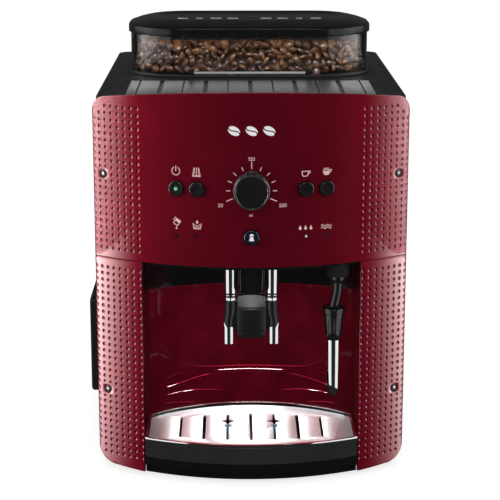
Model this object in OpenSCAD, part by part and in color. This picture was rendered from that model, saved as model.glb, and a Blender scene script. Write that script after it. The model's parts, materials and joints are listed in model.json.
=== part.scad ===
// Countertop bean-to-cup coffee machine, millimetres.
// The modules work in the machine's own axes: X = 0 is its middle plane, Y = 0 the plane through the two
// front corners, +Y runs to the back and Z = 0 is the worktop. placed() then centres the bounding box.

/* [Casing] */
// Width over the curved front
front_w = 245; // [240:1:250]
// Radius of the curved front, seen from above
front_r = 195; // [185:1:230]
// Y of the back face
back_y = 282; // [280:1:300]
// Height of the front panel's upper corners
panel_top = 302; // [302:1:308]
// How far the front panel's top edge rises to the middle
panel_arch = 9; // [0:1:12]
// Height of the joint between the upper and lower front
split_z = 176.5; // [174:0.5:178]
// Thickness of the moulded shells
wall = 2.6; // [2:0.1:3]

/* [Cup bay] */
// Half the width of the bay
bay_x = 84.6; // [83:0.2:86]
// Y of the bay's back wall at the middle
bay_back_y = 55.8; // [50:0.1:58]
// Radius of the bay's back wall
bay_r = 126.5; // [120:0.5:140]
// Height of the drip grid's top face
grid_z = 33.2; // [30:0.1:36]

/* [Controls] */
// Height of the dial and button row
control_z = 237; // [232:1:240]
// Height of the lower row, with the service button and the lights
lower_z = 200.5; // [196:0.5:204]
// Diameter of the dial's skirt
dial_d = 28; // [24:0.5:30]
// How far the dial stands out of the panel
dial_out = 10; // [9:0.5:14]
// Diameter of a button cap
button_d = 11.6; // [9:0.1:12.4]

/* [Hopper and tank] */
// Width of the bean hopper
hopper_w = 201; // [190:1:206]
// Depth of the bean hopper
hopper_d = 112; // [100:1:112]
// Height of the hopper's clear wall above its collar
hopper_h = 31.5; // [25:0.5:45]
// Y of the hopper's middle
hopper_y = 158; // [157:1:159]
// Half the width of the water tank
tank_x = 95; // [80:1:96]

/* [Hidden] */
// ---- derived sizes ----
$fn = 48;
gap = 0.3;
half_w = front_w / 2;
arc_y = sqrt(front_r * front_r - half_w * half_w);
corner_r = 3;
return_y = 14;                      // where the front shells' side returns end
body_x = half_w - wall - 0.6;       // half width of the casing behind the front
body_front_y = 3;
rear_r = 12;
rear_split_y = back_y - 20;
panel_corner_r = 12;
foot_h = 4;
pan_z = foot_h;
pan_t = 3;
base_screw_x = 96;
base_screw_y = [68, back_y - 67.5];
bottom_mid_z = 2;                   // front's lower edge at the middle
bottom_rise = 4.4;                  // and how far it rises to the corners
deck_z = panel_top;                 // top face of the top deck
deck_t = 3.8;
bay_c_y = bay_back_y - bay_r;       // centre of the bay's back arc
liner_top_z = 138;
ceiling_t = 2.5;
bay_corner_r = 9;
button_x = [-57, -41.2, 41.2, 57];
button_names = ["power_button", "steam_button", "one_cup_button", "two_cup_button"];
button_travel = 1.2;
light_x = [-57, -41.5, 41.5, 57];
screw_x = 114.2;
screw_z = [67.6, 243.5];
screw_head_r = 3.1;
collar_h = 2.6;
hopper_z0 = deck_z + collar_h;
hopper_z1 = hopper_z0 + hopper_h;
hopper_corner_r = 46;
hopper_wall = 2.2;
lid_rim_h = 7.7;
lid_crown_h = 4.5;
throat_r = 22;
tank_y0 = back_y - 60.5;
tank_y1 = back_y - 3.2;
tank_z0 = 134;
tank_z1 = 294;
tank_lid_z = 296.2;
hinge_y = back_y - 7;
hinge_z = 299;
drawer_y0 = 88;
drawer_y1 = 202;
drawer_z0 = 38;
drawer_z1 = 112;
drawer_front_x = -135.4;
front_plate_h = 83;                 // height of the drawer's front
tube_x = 16.2;                      // the spout's guide tubes
tube_y = -22;
spout_x = 17.6;
nozzle_z = 110.6;
wand_x = 64.5;
wand_y = -18;
wand_pivot_z = 163;
float_x = 18.9;
float_y = 2;
slot_pitch = 18.9;
brew_x = -30;
brew_y = 145;
plate_z = 203.4;                    // the chamber's top plate
drive_r = 57.7;                     // the brew screw stands this far from the chamber
drive_a = 205.7;                    // in this direction
cap_out = 1.9;                      // how far a button cap stands out of the panel
shift_x = -(drawer_front_x + half_w) / 2;
shift_y = -(arc_y - front_r - dial_out + back_y) / 2;

// ---- shared shapes ----
function arc_points(cx, cy, r, a0, a1, n, first = 0) =
    [for (i = [first:n]) let (a = a0 + (a1 - a0) * i / n) [cx + r * cos(a), cy + r * sin(a)]];

// Plan of the front, moved inwards by off and closed at y = back
function front_outline(off, back) =
    let (r = max(corner_r - off, 0.4), x = half_w - off - r, big = front_r - off, a = asin(x / (big - r)),
         y = arc_y - (big - r) * cos(a))
    concat([[half_w - off, back], [-(half_w - off), back]],
           arc_points(-x, y, r, 180, 270 - a, 4),
           arc_points(0, arc_y, big, 270 - a, 270 + a, 44, 1),
           arc_points(x, y, r, 270 + a, 360, 4, 1));

// Plan of the casing behind the front
function body_outline(off) = concat(
    [[-(body_x - off), body_front_y], [body_x - off, body_front_y]],
    arc_points(body_x - rear_r, back_y - rear_r, rear_r - off, 0, 90, 6),
    arc_points(-(body_x - rear_r), back_y - rear_r, rear_r - off, 90, 180, 6));

function rounded_rect(w, d, r, n = 9) = concat(
    arc_points(w / 2 - r, d / 2 - r, r, 0, 90, n),
    arc_points(-(w / 2 - r), d / 2 - r, r, 90, 180, n),
    arc_points(-(w / 2 - r), -(d / 2 - r), r, 180, 270, n),
    arc_points(w / 2 - r, -(d / 2 - r), r, 270, 360, n));

// Back of the bay from its right side wall to its left one, moved towards the front by off
bay_corner_x = bay_x - bay_corner_r;
bay_corner_a = asin(bay_corner_x / (bay_r - bay_corner_r));
bay_corner_y = bay_c_y + (bay_r - bay_corner_r) * cos(bay_corner_a);
function bay_curve(off) = concat(
    arc_points(bay_corner_x, bay_corner_y, bay_corner_r - off, 0, 90 - bay_corner_a, 6),
    arc_points(0, bay_c_y, bay_r - off, 90 - bay_corner_a, 90 + bay_corner_a, 32, 1),
    arc_points(-bay_corner_x, bay_corner_y, bay_corner_r - off, 90 + bay_corner_a, 180, 6, 1));

// Plan of the bay's floor: its back curve closed by the front arc, which sits off_front behind the front
function bay_plan(side, off_back, off_front) =
    let (x = bay_x - side, r = front_r - off_front, a = asin(x / r))
    concat([for (p = bay_curve(off_back)) [max(-x, min(x, p[0])), p[1]]],
           arc_points(0, arc_y, r, 270 - a, 270 + a, 24));

function surface_y(x) = arc_y - sqrt(front_r * front_r - x * x);
function top_edge_z(x) = panel_top + panel_arch * (1 - pow(x / half_w, 2));
function bottom_edge_z(x) = bottom_mid_z + bottom_rise * pow(x / half_w, 2);

module placed() translate([shift_x, shift_y, 0]) children();

// Children stand on the curved front at (x, z): their +Z points out of the panel and their +Y up
module on_front(x, z)
    translate([x, surface_y(x), z]) rotate([0, 0, asin(x / front_r)]) rotate([90, 0, 0]) children();

// A prism through the machine, from an outline in X and Z
module through_y(y0, y1) translate([0, y1, 0]) rotate([90, 0, 0]) linear_extrude(y1 - y0) children();

module ring(r_out, r_in, h) difference() {
    cylinder(r = r_out, h = h);
    translate([0, 0, -1]) cylinder(r = r_in, h = h + 2);
}

// Two outlines with the same number of points, joined by a sloping side
module frustum(lower, z0, upper, z1) {
    n = len(lower);
    polyhedron([for (p = lower) [p[0], p[1], z0], for (p = upper) [p[0], p[1], z1]], concat(
        [[for (i = [0:n - 1]) i]],
        [[for (i = [n - 1:-1:0]) n + i]],
        [for (i = [0:n - 1]) let (k = (i + 1) % n) [i, n + k, k]],
        [for (i = [0:n - 1]) let (k = (i + 1) % n) [i, n + i, n + k]]));
}

module block(x0, x1, y0, y1, z0, z1) translate([x0, y0, z0]) cube([x1 - x0, y1 - y0, z1 - z0]);

module prism(points, z0, z1) translate([0, 0, z0]) linear_extrude(z1 - z0) polygon(points);

// The points joined by a tube of radius r with the given number of sides
function unit(v) = v / norm(v);
function path_dir(p, i) = unit(p[min(i + 1, len(p) - 1)] - p[max(i - 1, 0)]);
function side_dir(d) = unit(abs(d[2]) > 0.9 ? cross(d, [1, 0, 0]) : cross(d, [0, 0, 1]));
function carry(p, i) = i == 0 ? side_dir(path_dir(p, 0))
    : let (s = carry(p, i - 1), d = path_dir(p, i)) unit(s - d * (s * d));
module tube(p, r, sides = 8) {
    rings = [for (i = [0:len(p) - 1]) let (d = path_dir(p, i), s = carry(p, i), t = cross(d, s))
        for (k = [0:sides - 1]) p[i] + r * (cos(360 * k / sides) * s + sin(360 * k / sides) * t)];
    last = (len(p) - 1) * sides;
    polyhedron(rings, concat(
        [[for (k = [0:sides - 1]) k]],
        [[for (k = [0:sides - 1]) last + sides - 1 - k]],
        [for (i = [0:len(p) - 2], k = [0:sides - 1]) let (a = i * sides, n = (k + 1) % sides)
            [a + n, a + k, a + sides + k, a + sides + n]]));
}

// ---- casing ----
module base_pan() color("#1a1a1b") difference() {
    union() {
        block(-115, 115, 24, back_y - 5, pan_z, pan_z + pan_t);
        block(-80, 80, -14, 24.5, pan_z, pan_z + pan_t);
    }
    for (x = [-base_screw_x, base_screw_x], y = base_screw_y)
        translate([x, y, pan_z - 1]) cylinder(r = 2.3, h = pan_t + 2);
    for (i = [-4:4])
        block(i * 14 - 3, i * 14 + 3, 222, 262, pan_z - 1, pan_z + pan_t + 1);
}

module rubber_feet() color("#141414")
    for (x = [-88, 88], y = [36, back_y - 34])
        translate([x, y, 0]) cylinder(r = 9, h = foot_h);

module base_screws() color("#8d9092")
    for (x = [-base_screw_x, base_screw_x], y = base_screw_y) translate([x, y, pan_z - 2]) {
        cylinder(r = 3.6, h = 2);
        cylinder(r = 2, h = 11);
    }

module casing_ring() difference() {
    linear_extrude(deck_z - deck_t - 0.2 - 7.2) polygon(body_outline(0));
    translate([0, 0, -1]) linear_extrude(400) polygon(body_outline(wall));
}

// Side panel on the +X side; the flange in front takes the front screws
module side_panel() {
    z1 = deck_z - deck_t - 0.2;
    union() {
        block(body_x - wall, body_x, body_front_y, rear_split_y, 7.2, z1);
        block(100, body_x - wall + 0.5, body_front_y + 1, body_front_y + 3.6, 7.2, z1 - 4);
    }
}
module screw_bosses(side) difference() {
    intersection() {
        union() for (z = screw_z)
            on_front(side * screw_x, z) translate([0, 0, -15]) cylinder(r = 4.4, h = 11.6);
        prism(front_outline(wall + 0.5, 40), 0, 400);
        block(side > 0 ? 90 : -116, side > 0 ? 116 : -90, -20, body_front_y + 3, 0, 400);
    }
}
module screw_bores(side) for (z = screw_z)
    on_front(side * screw_x, z) translate([0, 0, -24]) cylinder(r = 2, h = 26);

module right_side_panel() color("#191919") difference() {
    union() {
        side_panel();
        screw_bosses(1);
    }
    screw_bores(1);
}

module left_side_panel() color("#191919") difference() {
    union() {
        mirror([1, 0, 0]) side_panel();
        screw_bosses(-1);
    }
    screw_bores(-1);
    block(-body_x - 1, -body_x + wall + 1, drawer_y0 - 2, drawer_y1 + 2, drawer_z0 - 2, drawer_z1 + 5);
}

module rear_panel() color("#191919") difference() {
    translate([0, 0, 7.2]) intersection() {
        casing_ring();
        block(-200, 200, rear_split_y + gap, back_y + 1, -1, 400);
    }
    block(-tank_x - 1, tank_x + 1, back_y - 10, back_y + 5, tank_z0 - 2, 400);
    for (i = [-5:5], z = [40, 80])
        block(i * 9 - 2, i * 9 + 2, back_y - 10, back_y + 5, z, z + 28);
    translate([84, back_y - 10, 26]) rotate([-90, 0, 0]) cylinder(r = 7, h = 20);
}

module deck_opening(inset) intersection() {
    prism(front_outline(12 + inset, 200), -1, 50);
    block(-97.5 + inset, 97.5 - inset, -60, 84 - inset, -2, 60);
}

module top_deck() color("#1c1c1d") difference() {
    translate([0, 0, deck_z - deck_t]) linear_extrude(deck_t) intersection() {
        polygon(front_outline(wall + 0.5, back_y));
        polygon(concat([[body_x, -80], [body_x, back_y - rear_r]],
            arc_points(body_x - rear_r, back_y - rear_r, rear_r, 0, 90, 6, 1),
            arc_points(-(body_x - rear_r), back_y - rear_r, rear_r, 90, 180, 6), [[-body_x, -80]]));
    }
    translate([0, 0, deck_z - 2.8]) deck_opening(0);
    translate([0, 0, deck_z - deck_t - 10]) deck_opening(3.5);
    translate([0, hopper_y, deck_z - 10]) cylinder(r = throat_r + 2.6, h = 20);
    translate([62, hopper_y, deck_z - 10]) cylinder(r = 3.4, h = 20);
    block(-tank_x - 1.2, tank_x + 1.2, tank_y0 - 0.7, tank_y1 + 0.5, deck_z - 20, deck_z + 5);
}

module cup_grid() color("#77797c") difference() {
    intersection() {
        prism(front_outline(12.4, 200), deck_z - 2.6, deck_z + 0.4);
        block(-97.1, 97.1, -60, 83.6, 0, 400);
    }
    for (i = [-2:2])
        block(i * 35.7 - 1.6, i * 35.7 + 1.6, -22 + abs(i) * 4, 74, deck_z - 5, deck_z + 5);
    for (i = [-2.5:2.5])
        block(i * 35.7 - 0.6, i * 35.7 + 0.6, -24 + abs(i) * 5, 83.7, deck_z - 0.4, deck_z + 5);
}

module front_shell(z0, z1, t = wall) difference() {
    prism(front_outline(0, return_y), z0, z1);
    prism(front_outline(t, return_y + 1), z0 - 1, z1 + 1);
}

function upper_elevation(z0) = let (x = half_w - panel_corner_r, z = top_edge_z(x) - panel_corner_r) concat(
    [[-half_w, z0], [half_w, z0]],
    arc_points(x, z, panel_corner_r, 0, 90, 6),
    [for (i = [1:23]) let (u = x * (1 - i / 12)) [u, top_edge_z(u)]],
    arc_points(-x, z, panel_corner_r, 90, 180, 6));

function lower_elevation(z1) = let (r = 14, x = half_w - r, z = bottom_edge_z(x) + r) concat(
    [[half_w, z1], [-half_w, z1]],
    arc_points(-x, z, r, 180, 270, 6),
    [for (i = [1:23]) let (u = -x * (1 - i / 12)) [u, bottom_edge_z(u)]],
    arc_points(x, z, r, 270, 360, 6));

module front_screw_recess(zs) for (x = [-screw_x, screw_x], z = zs) on_front(x, z) {
    translate([0, 0, -30]) cylinder(r = 2.3, h = 40);
    translate([0, 0, -1.5]) cylinder(r = screw_head_r + 0.5, h = 10);
}

module front_panel() color("#8e0f22") difference() {
    intersection() {
        front_shell(split_z + gap, 330);
        through_y(-100, 40) polygon(upper_elevation(split_z + gap));
    }
    on_front(0, control_z) translate([0, 0, -10]) cylinder(r = 4, h = 20);
    for (x = button_x) on_front(x, control_z) translate([0, 0, -10]) cylinder(r = button_d / 2 + 0.4, h = 20);
    on_front(0, lower_z) translate([0, 0, -10]) cylinder(r = button_d / 2 + 0.4, h = 20);
    for (x = light_x) on_front(x, lower_z) translate([0, 0, -10]) cylinder(r = 1.7, h = 20);
    front_screw_recess([screw_z[1]]);
}

module front_housing() color("#8e0f22") difference() {
    union() {
        intersection() {
            front_shell(0, split_z);
            through_y(-100, 40) polygon(lower_elevation(split_z));
            union() {
                block(bay_x, 200, -100, 40, 0, 400);
                block(-200, -bay_x, -100, 40, 0, 400);
            }
        }
        intersection() {
            prism(front_outline(1.5, 40), 7.4, split_z);
            for (x = [-bay_x - wall, bay_x]) block(x, x + wall, -60, bay_corner_y, 7.4, split_z);
        }
        block(-bay_x - 1, bay_x + 1, -8, 20, 7.4, 9.2);
    }
    front_screw_recess([screw_z[0]]);
}

module front_screws() color("#3c3d3f")
    for (x = [-screw_x, screw_x], z = screw_z) on_front(x, z) difference() {
        union() {
            translate([0, 0, -1.4]) cylinder(r = screw_head_r, h = 1.8);
            translate([0, 0, -12]) cylinder(r = 1.9, h = 11);
        }
        translate([0, 0, -0.8]) cylinder(r = 1.7, h = 5, $fn = 6);
    }

// ---- cup bay ----
module bay_wall(z0, z1, t) linear_extrude_between(z0, z1) polygon(concat(
    bay_curve(0.2), [for (i = [len(bay_curve(0)) - 1:-1:0]) bay_curve(-t)[i]]));
module linear_extrude_between(z0, z1) translate([0, 0, z0]) linear_extrude(z1 - z0) children();

module bay_liner() color("#7c0c1d") bay_wall(9.5, liner_top_z, 2.2);

module bay_ceiling() color("#111111") difference() {
    union() {
        bay_wall(liner_top_z + gap, split_z, 2.2);
        prism(bay_plan(0.2, 0.1, wall + 1), split_z - ceiling_t, split_z);
    }
    for (x = [-tube_x, tube_x]) translate([x, tube_y, 100]) cylinder(r = 5.2, h = 100);
    block(-12.3, 12.3, tube_y - 9.3, tube_y + 9.3, 100, 200);
    translate([wand_x + 3, wand_y, 100]) cylinder(r = 9.2, h = 100);
}

// ---- controls ----
module dial_knob() color("#101112") on_front(0, control_z) difference() {
    union() {
        translate([0, 0, 0.6]) cylinder(r = dial_d / 2, h = 5.4);
        translate([0, 0, 6]) cylinder(r = dial_d / 2 - 0.6, h = dial_out - 6);
        translate([-3.2, dial_d / 2 - 4, 0.6]) cube([6.4, 5.6, 5.4]);
    }
    translate([0, 0, -1]) cylinder(r = 3, h = 9.4);
    translate([0, 0, dial_out - 0.8]) cylinder(r = dial_d / 2 - 2.2, h = 2);
}

module dial_shaft() color("#b9bcc0") on_front(0, control_z) {
    translate([0, 0, -18]) cylinder(r = 3, h = 26.4);
}

module button(r, length) {
    translate([0, 0, -3.2]) cylinder(r = r, h = 3.2 + cap_out - 0.7);
    translate([0, 0, cap_out - 0.7]) cylinder(r1 = r, r2 = r - 1, h = 0.7);
    translate([0, 0, -5.1]) cylinder(r = r + 1, h = 2);
    translate([0, 0, -length]) cylinder(r = 2, h = length - 4.6);
}

module panel_button(i) color("#0d0d0e") on_front(button_x[i], control_z) button(button_d / 2, 9);
module power_button() panel_button(0);
module steam_button() panel_button(1);
module one_cup_button() panel_button(2);
module two_cup_button() panel_button(3);
module service_button() color("#1b2a44") on_front(0, lower_z) button(button_d / 2, 9);

module indicator_lights() color("#5c0714")
    for (x = light_x) on_front(x, lower_z) translate([0, 0, -13.9]) cylinder(r = 1.6, h = 14.1);

module switch_box(depth) translate([-3, -3, -depth]) cube([6, 6, 3.4]);

module control_board() color("#2f6b3d") {
    on_front(0, 222) difference() {
        translate([-30, -36, -16]) cube([60, 62, 1.6]);
        translate([0, control_z - 222, -20]) cylinder(r = 4.5, h = 20);
    }
    on_front(0, lower_z) switch_box(14.4);
    for (x = [-26, 26], y = [-30, 20]) on_front(0, 222) translate([x, y, -15]) cylinder(r = 1.8, h = 10);
    for (side = [-1, 1]) on_front(side * 49.5, 222)
        translate([-15.5, -36, -16]) cube([31, 62, 1.6]);
    for (x = button_x) on_front((x + sign(x) * 49.5) / 2, control_z)
        translate([(x - sign(x) * 49.5) * 0.5 * 1.04, 0, 0]) switch_box(14.4);
}

module dial_encoder() color("#9a9da1") on_front(0, control_z) difference() {
    translate([-7, -7, -14.3]) cube([14, 14, 5.5]);
    translate([0, 0, -20]) cylinder(r = 3.3, h = 30);
}

// ---- coffee outlet ----
module spout_column() color("#0e0e0f") difference() {
    union() {
        block(-12, 12, tube_y - 9, tube_y + 9, 152.6, split_z + 8);
        block(-26, 26, tube_y - 9, tube_y + 14, split_z + 0.3, split_z + 8);
    }
    for (x = [-tube_x, tube_x]) translate([x, tube_y, 100]) cylinder(r = 4.95, h = 100);
    translate([0, tube_y, 100]) cylinder(r = 6, h = 100);
}

module guide_tubes() color("#d7dadc") for (x = [-tube_x, tube_x]) translate([x, tube_y, 0]) {
    translate([0, 0, 151.5]) ring(4.8, 3.5, split_z + 8 - 151.5);
}

module spout_slider() color("#0b0b0c") difference() {
    union() {
        intersection() {
            block(-12, 12, -60, tube_y + 8.4, 118, 150.6);
            translate([0, tube_y + 24, 100]) cylinder(r = 38, h = 60);
        }
        for (side = [-1, 1]) {
            translate([side * tube_x, tube_y, 138]) cylinder(r = 4.5, h = 12.6);
            translate([side * spout_x, tube_y, nozzle_z + 12.2]) cylinder(r = 3.68, h = 18);
            translate([side * spout_x, tube_y, nozzle_z + 18.6]) cylinder(r1 = 4.05, r2 = 4.5, h = 11);
            translate([side * tube_x, tube_y, 150]) cylinder(r = 3.1, h = 46);
            block(side > 0 ? 10 : -18, side > 0 ? 18 : -10, tube_y - 3, tube_y + 3, 129.6, 148);
        }
    }
    translate([0, tube_y, 118.1]) cylinder(r = 3, h = 100);
}

module spout_nozzles() color("#dfe2e4") for (side = [-1, 1]) translate([side * spout_x, tube_y, nozzle_z])
    difference() {
        union() {
            cylinder(r = 4.3, h = 16);
            translate([0, 0, 16]) cylinder(r1 = 4.3, r2 = 4.05, h = 2.4);
        }
        translate([0, 0, -1]) cylinder(r = 2.6, h = 30);
        translate([0, 0, 12]) cylinder(r = 3.72, h = 20);
    }

// ---- steam wand ----
module wand_socket() color("#151516") translate([wand_x + 3, wand_y, 0]) difference() {
    union() {
        translate([0, 0, wand_pivot_z + 1.5]) cylinder(r = 8.6, h = split_z + 8 - wand_pivot_z - 1.5);
        translate([0, 0, split_z + gap]) cylinder(r = 9.5, h = 7.7);
    }
    translate([0, 0, wand_pivot_z]) sphere(r = 6.3);
    translate([0, 0, wand_pivot_z]) cylinder(r = 2, h = 40);
}

module wand_arm() color("#151516") union() {
    translate([wand_x + 3, wand_y, wand_pivot_z]) sphere(r = 6);
    tube([[wand_x + 3, wand_y, wand_pivot_z], [wand_x + 3, wand_y, wand_pivot_z - 7],
          [wand_x + 2.4, wand_y, wand_pivot_z - 12], [wand_x + 0.9, wand_y, wand_pivot_z - 18],
          [wand_x, wand_y, wand_pivot_z - 23], [wand_x, wand_y, wand_pivot_z - 30]], 3.9, 12);
    translate([wand_x, wand_y, 87]) cylinder(r = 2.15, h = wand_pivot_z - 117);
}

module wand_grip() color("#0f1011") translate([wand_x, wand_y, 0]) difference() {
    union() {
        translate([0, 0, 112.8]) cylinder(r1 = 5.3, r2 = 8.2, h = 20);
        translate([0, 0, 132.8]) cylinder(r = 8.9, h = 6.2);
    }
    translate([0, 0, 132.7]) cylinder(r = 6.4, h = 20);
    translate([0, 0, 100]) cylinder(r = 2.2, h = 40);
}

module wand_sleeve() color("#d9dcde") translate([wand_x, wand_y, 71.6])
    ring(5.35, 3.2, 41.1);

module wand_tip() color("#111111") translate([wand_x, wand_y, 66.6]) difference() {
    union() {
        cylinder(r1 = 3, r2 = 4.4, h = 5);
        translate([0, 0, 5]) cylinder(r = 3.1, h = 14);
    }
    translate([0, 0, -1]) cylinder(r = 1.2, h = 30);
}

// ---- drip tray ----
module tray_plan(side, off) polygon(bay_plan(side, off + 0.6, off));

module drip_tray() color("#131313") difference() {
    union() {
        linear_extrude_between(9.5, grid_z - 1.6) tray_plan(0.5, 0);
        intersection() {
            linear_extrude_between(3, 12) tray_plan(0.5, 0);
            difference() {
                block(-bay_x, bay_x, -60, -9, 0, 20);
                prism(front_outline(4, 40), 0, 9.4);
            }
        }
    }
    linear_extrude_between(11.7, 60) tray_plan(2.9, 2.4);
}

module star(r) for (a = [0, 90]) rotate(a)
    polygon([[-r, 0], [-r * 0.25, -r * 0.25], [0, -r * 0.3], [r * 0.25, -r * 0.25], [r, 0],
             [r * 0.25, r * 0.25], [0, r * 0.3], [-r * 0.25, r * 0.25]]);

module drip_grid() color("#c9ccce") difference() {
    union() {
        linear_extrude_between(grid_z - 1.5, grid_z) tray_plan(0.5, 0);
        linear_extrude_between(grid_z - 0.1, grid_z + 2.4) difference() {
            tray_plan(0.5, 0);
            tray_plan(2, 1.4);
            translate([-100, -100]) square([200, 120]);
        }
    }
    for (i = [-3:3]) let (w = abs(i) == 2 ? 2.5 : 1.9, inset = abs(i) == 3 ? 8 : abs(i) * 1.5)
        block(i * slot_pitch - w / 2, i * slot_pitch + w / 2, -31 + inset, 30 - inset, 0, 60);
    for (x = [-float_x, float_x]) {
        translate([x, 13, 0]) linear_extrude(60) star(6.2);
        translate([x, float_y, 0]) cylinder(r = 2.7, h = 60);
    }
}

module tray_float(x) color("#4bb8e0") translate([x, float_y, 0]) {
    translate([0, 0, 12]) cylinder(r = 6, h = 6);
    translate([0, 0, 17]) cylinder(r = 2.3, h = grid_z - 17 + 0.5);
}
module float_left() tray_float(-float_x);
module float_right() tray_float(float_x);

// ---- grounds drawer ----
module grounds_drawer() color("#1d1d1e") difference() {
    union() {
        block(-body_x + 0.2, 8, drawer_y0, drawer_y1, drawer_z0, drawer_z1);
        block(-body_x - 2.6, -body_x - 0.4, drawer_y0 - 5.5, drawer_y1 + 5.5, drawer_z0 - 0.4, drawer_z1 + 3);
        block(-body_x - 1, -body_x + 1, drawer_y0, drawer_y1, drawer_z0, drawer_z1);
    }
    block(-body_x + 2.4, 6, drawer_y0 + 2, drawer_y1 - 2, drawer_z0 + 2, 200);
}

module drawer_front() color("#101010") difference() {
    translate([drawer_front_x, (drawer_y0 + drawer_y1) / 2, 0]) rotate([90, 0, 90])
        translate([0, 35.5 + front_plate_h / 2, 0])
        linear_extrude(-body_x - 2.8 - drawer_front_x) polygon(rounded_rect(125, front_plate_h, 4, 4));
    // finger pocket in the far edge
    block(drawer_front_x + 4, -body_x - 6, drawer_y1 - 12, drawer_y1 + 20, drawer_z0 + 16, drawer_z1 - 16);
}

// ---- bean hopper ----
function hopper_points(grow) =
    rounded_rect(hopper_w + 2 * grow, hopper_d + 2 * grow, hopper_corner_r + grow);
module hopper_plan(grow) polygon(hopper_points(grow));

module hopper_collar() color("#2a2b2d") translate([0, hopper_y, 0]) difference() {
    union() {
        linear_extrude_between(deck_z + 0.01, hopper_z0) hopper_plan(1.8);
        translate([0, 0, 285]) cylinder(r = throat_r + 2.2, h = deck_z - 284);
    }
    translate([0, 0, 270]) cylinder(r = throat_r, h = 60);
    translate([62, 0, 280]) cylinder(r = 3.4, h = 60);
}

module hopper() color("#9aa0a4", 0.35) translate([0, hopper_y, 0]) difference() {
    linear_extrude_between(hopper_z0, hopper_z1) hopper_plan(0);
    linear_extrude_between(hopper_z0 + 1.6, hopper_z1 + 1) hopper_plan(-hopper_wall);
    translate([0, 0, 270]) cylinder(r = throat_r, h = 60);
    translate([62, 0, 270]) cylinder(r = 3.4, h = 60);
}

module coffee_beans() color("#4a2a16") translate([0, hopper_y, 0]) difference() {
    linear_extrude_between(hopper_z0 + 1.8, hopper_z1 - 6) hopper_plan(-hopper_wall - 0.4);
    translate([62, 0, 280]) cylinder(r = 12, h = 80);
}

module grind_adjuster() color("#2b2c2e") translate([62, hopper_y, 0]) difference() {
    union() {
        translate([0, 0, hopper_z0 + 1.9]) cylinder(r = 11, h = 15);
        translate([0, 0, 291]) cylinder(r = 3, h = 20);
    }
    for (a = [0:60:300]) rotate(a) translate([12.6, 0, hopper_z0]) cylinder(r = 2.6, h = 40);
}

module hopper_lid() color("#0f0f10") translate([0, hopper_y, 0]) difference() {
    union() {
        linear_extrude_between(hopper_z1 + gap, hopper_z1 + lid_rim_h) hopper_plan(1.8);
        frustum(hopper_points(1.8), hopper_z1 + lid_rim_h - 0.01,
                hopper_points(-6.5), hopper_z1 + lid_rim_h + lid_crown_h);
        intersection() {
            linear_extrude_between(hopper_z1 + gap, hopper_z1 + lid_rim_h) hopper_plan(3.4);
            block(-48.5, 48.5, -80, 0, 0, 400);
        }
    }
    linear_extrude_between(hopper_z1 - 1, hopper_z1 + lid_rim_h - 1.6) hopper_plan(-6);
    linear_extrude_between(hopper_z1 + lid_rim_h + lid_crown_h - 1, 400) hopper_plan(-17);
}

module lid_seal() color("#3a3b3d") translate([0, hopper_y, 0])
    linear_extrude_between(hopper_z1 - 3, hopper_z1 + gap) difference() {
        hopper_plan(-hopper_wall - 0.3);
        hopper_plan(-6);
    }

// ---- water tank ----
module water_tank() color("#3b4247", 0.6) {
    tank_shell();
    for (side = [-1, 1]) translate([side > 0 ? tank_x - 14 : -tank_x, hinge_y, hinge_z])
        rotate([0, 90, 0]) cylinder(r = 1.5, h = 14);
}

module tank_shell() difference() {
    union() {
        block(-tank_x, tank_x, tank_y0, tank_y1, tank_z0, tank_z1);
        for (side = [-1, 1]) block(side > 0 ? tank_x - 3 : -tank_x, side > 0 ? tank_x : -tank_x + 3,
                                   hinge_y - 3, hinge_y + 3, tank_z1 - 1, hinge_z + 2.6);
        translate([0, tank_y0 + 30, tank_z0 - 3]) cylinder(r = 6, h = 4);
    }
    block(-tank_x + 2.2, tank_x - 2.2, tank_y0 + 2.2, tank_y1 - 2.2, tank_z0 + 2.4, tank_z1 + 30);
    translate([0, tank_y0 + 30, tank_z0 - 5]) cylinder(r = 3, h = 12);
}

module tank_lid() color("#161617") difference() {
    union() {
        block(-tank_x + 3.4, tank_x - 3.4, tank_y0 + 0.3, hinge_y, tank_lid_z, deck_z);
        translate([-tank_x + 3.4, hinge_y, hinge_z]) rotate([0, 90, 0]) cylinder(r = 3, h = 2 * tank_x - 6.8);
        block(-tank_x + 0.2, tank_x - 0.2, tank_y0 + 0.3, hinge_y - 8, tank_lid_z, deck_z);
    }
    translate([-200, hinge_y, hinge_z]) rotate([0, 90, 0]) cylinder(r = 1.56, h = 400);
    block(-22, 22, tank_y0 + 6, tank_y0 + 22, deck_z - 4, deck_z + 5);
}

// ---- inside ----
module inner_frame() color("#d9d9d4") difference() {
    union() {
        block(-112, 112, 63, 65.5, 7.2, 292);
        block(-112, 112, 65.5, tank_y0 - 1, 116.5, 119);
        block(-112, 112, tank_y0 - 3.5, tank_y0 - 1, 7.2, 292);
        block(-112, 112, tank_y0 - 1, back_y - 7, 127, 130.4);
        block(-40, 40, 65.5, tank_y0 - 3.5, 217, 219.5);
        for (x = [-base_screw_x, base_screw_x], y = base_screw_y)
            translate([x, y, 7.2]) cylinder(r = 4.5, h = 9);
    }
    for (x = [-base_screw_x, base_screw_x], y = base_screw_y)
        translate([x, y, 6]) cylinder(r = 2.05, h = 12);
    block(-80, 80, 60, 66, 170, 280);
    translate([brew_x, brew_y, 110]) cylinder(r = 23, h = 20);
    translate([0, tank_y0 + 30, 120]) cylinder(r = 3.3, h = 20);
    block(20, 104, 60, 66, 20, 110);
    block(30, 104, 205, 225, 30, 120);
    block(-90, -45, 205, 225, 140, 280);
    block(45, 90, 205, 225, 140, 280);
    block(12, 100, 67, 200, 110, 125);
    translate([0, hopper_y, 200]) cylinder(r = 10, h = 40);
    block(-39, -22, 130, 150, 210, 225);
}

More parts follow.
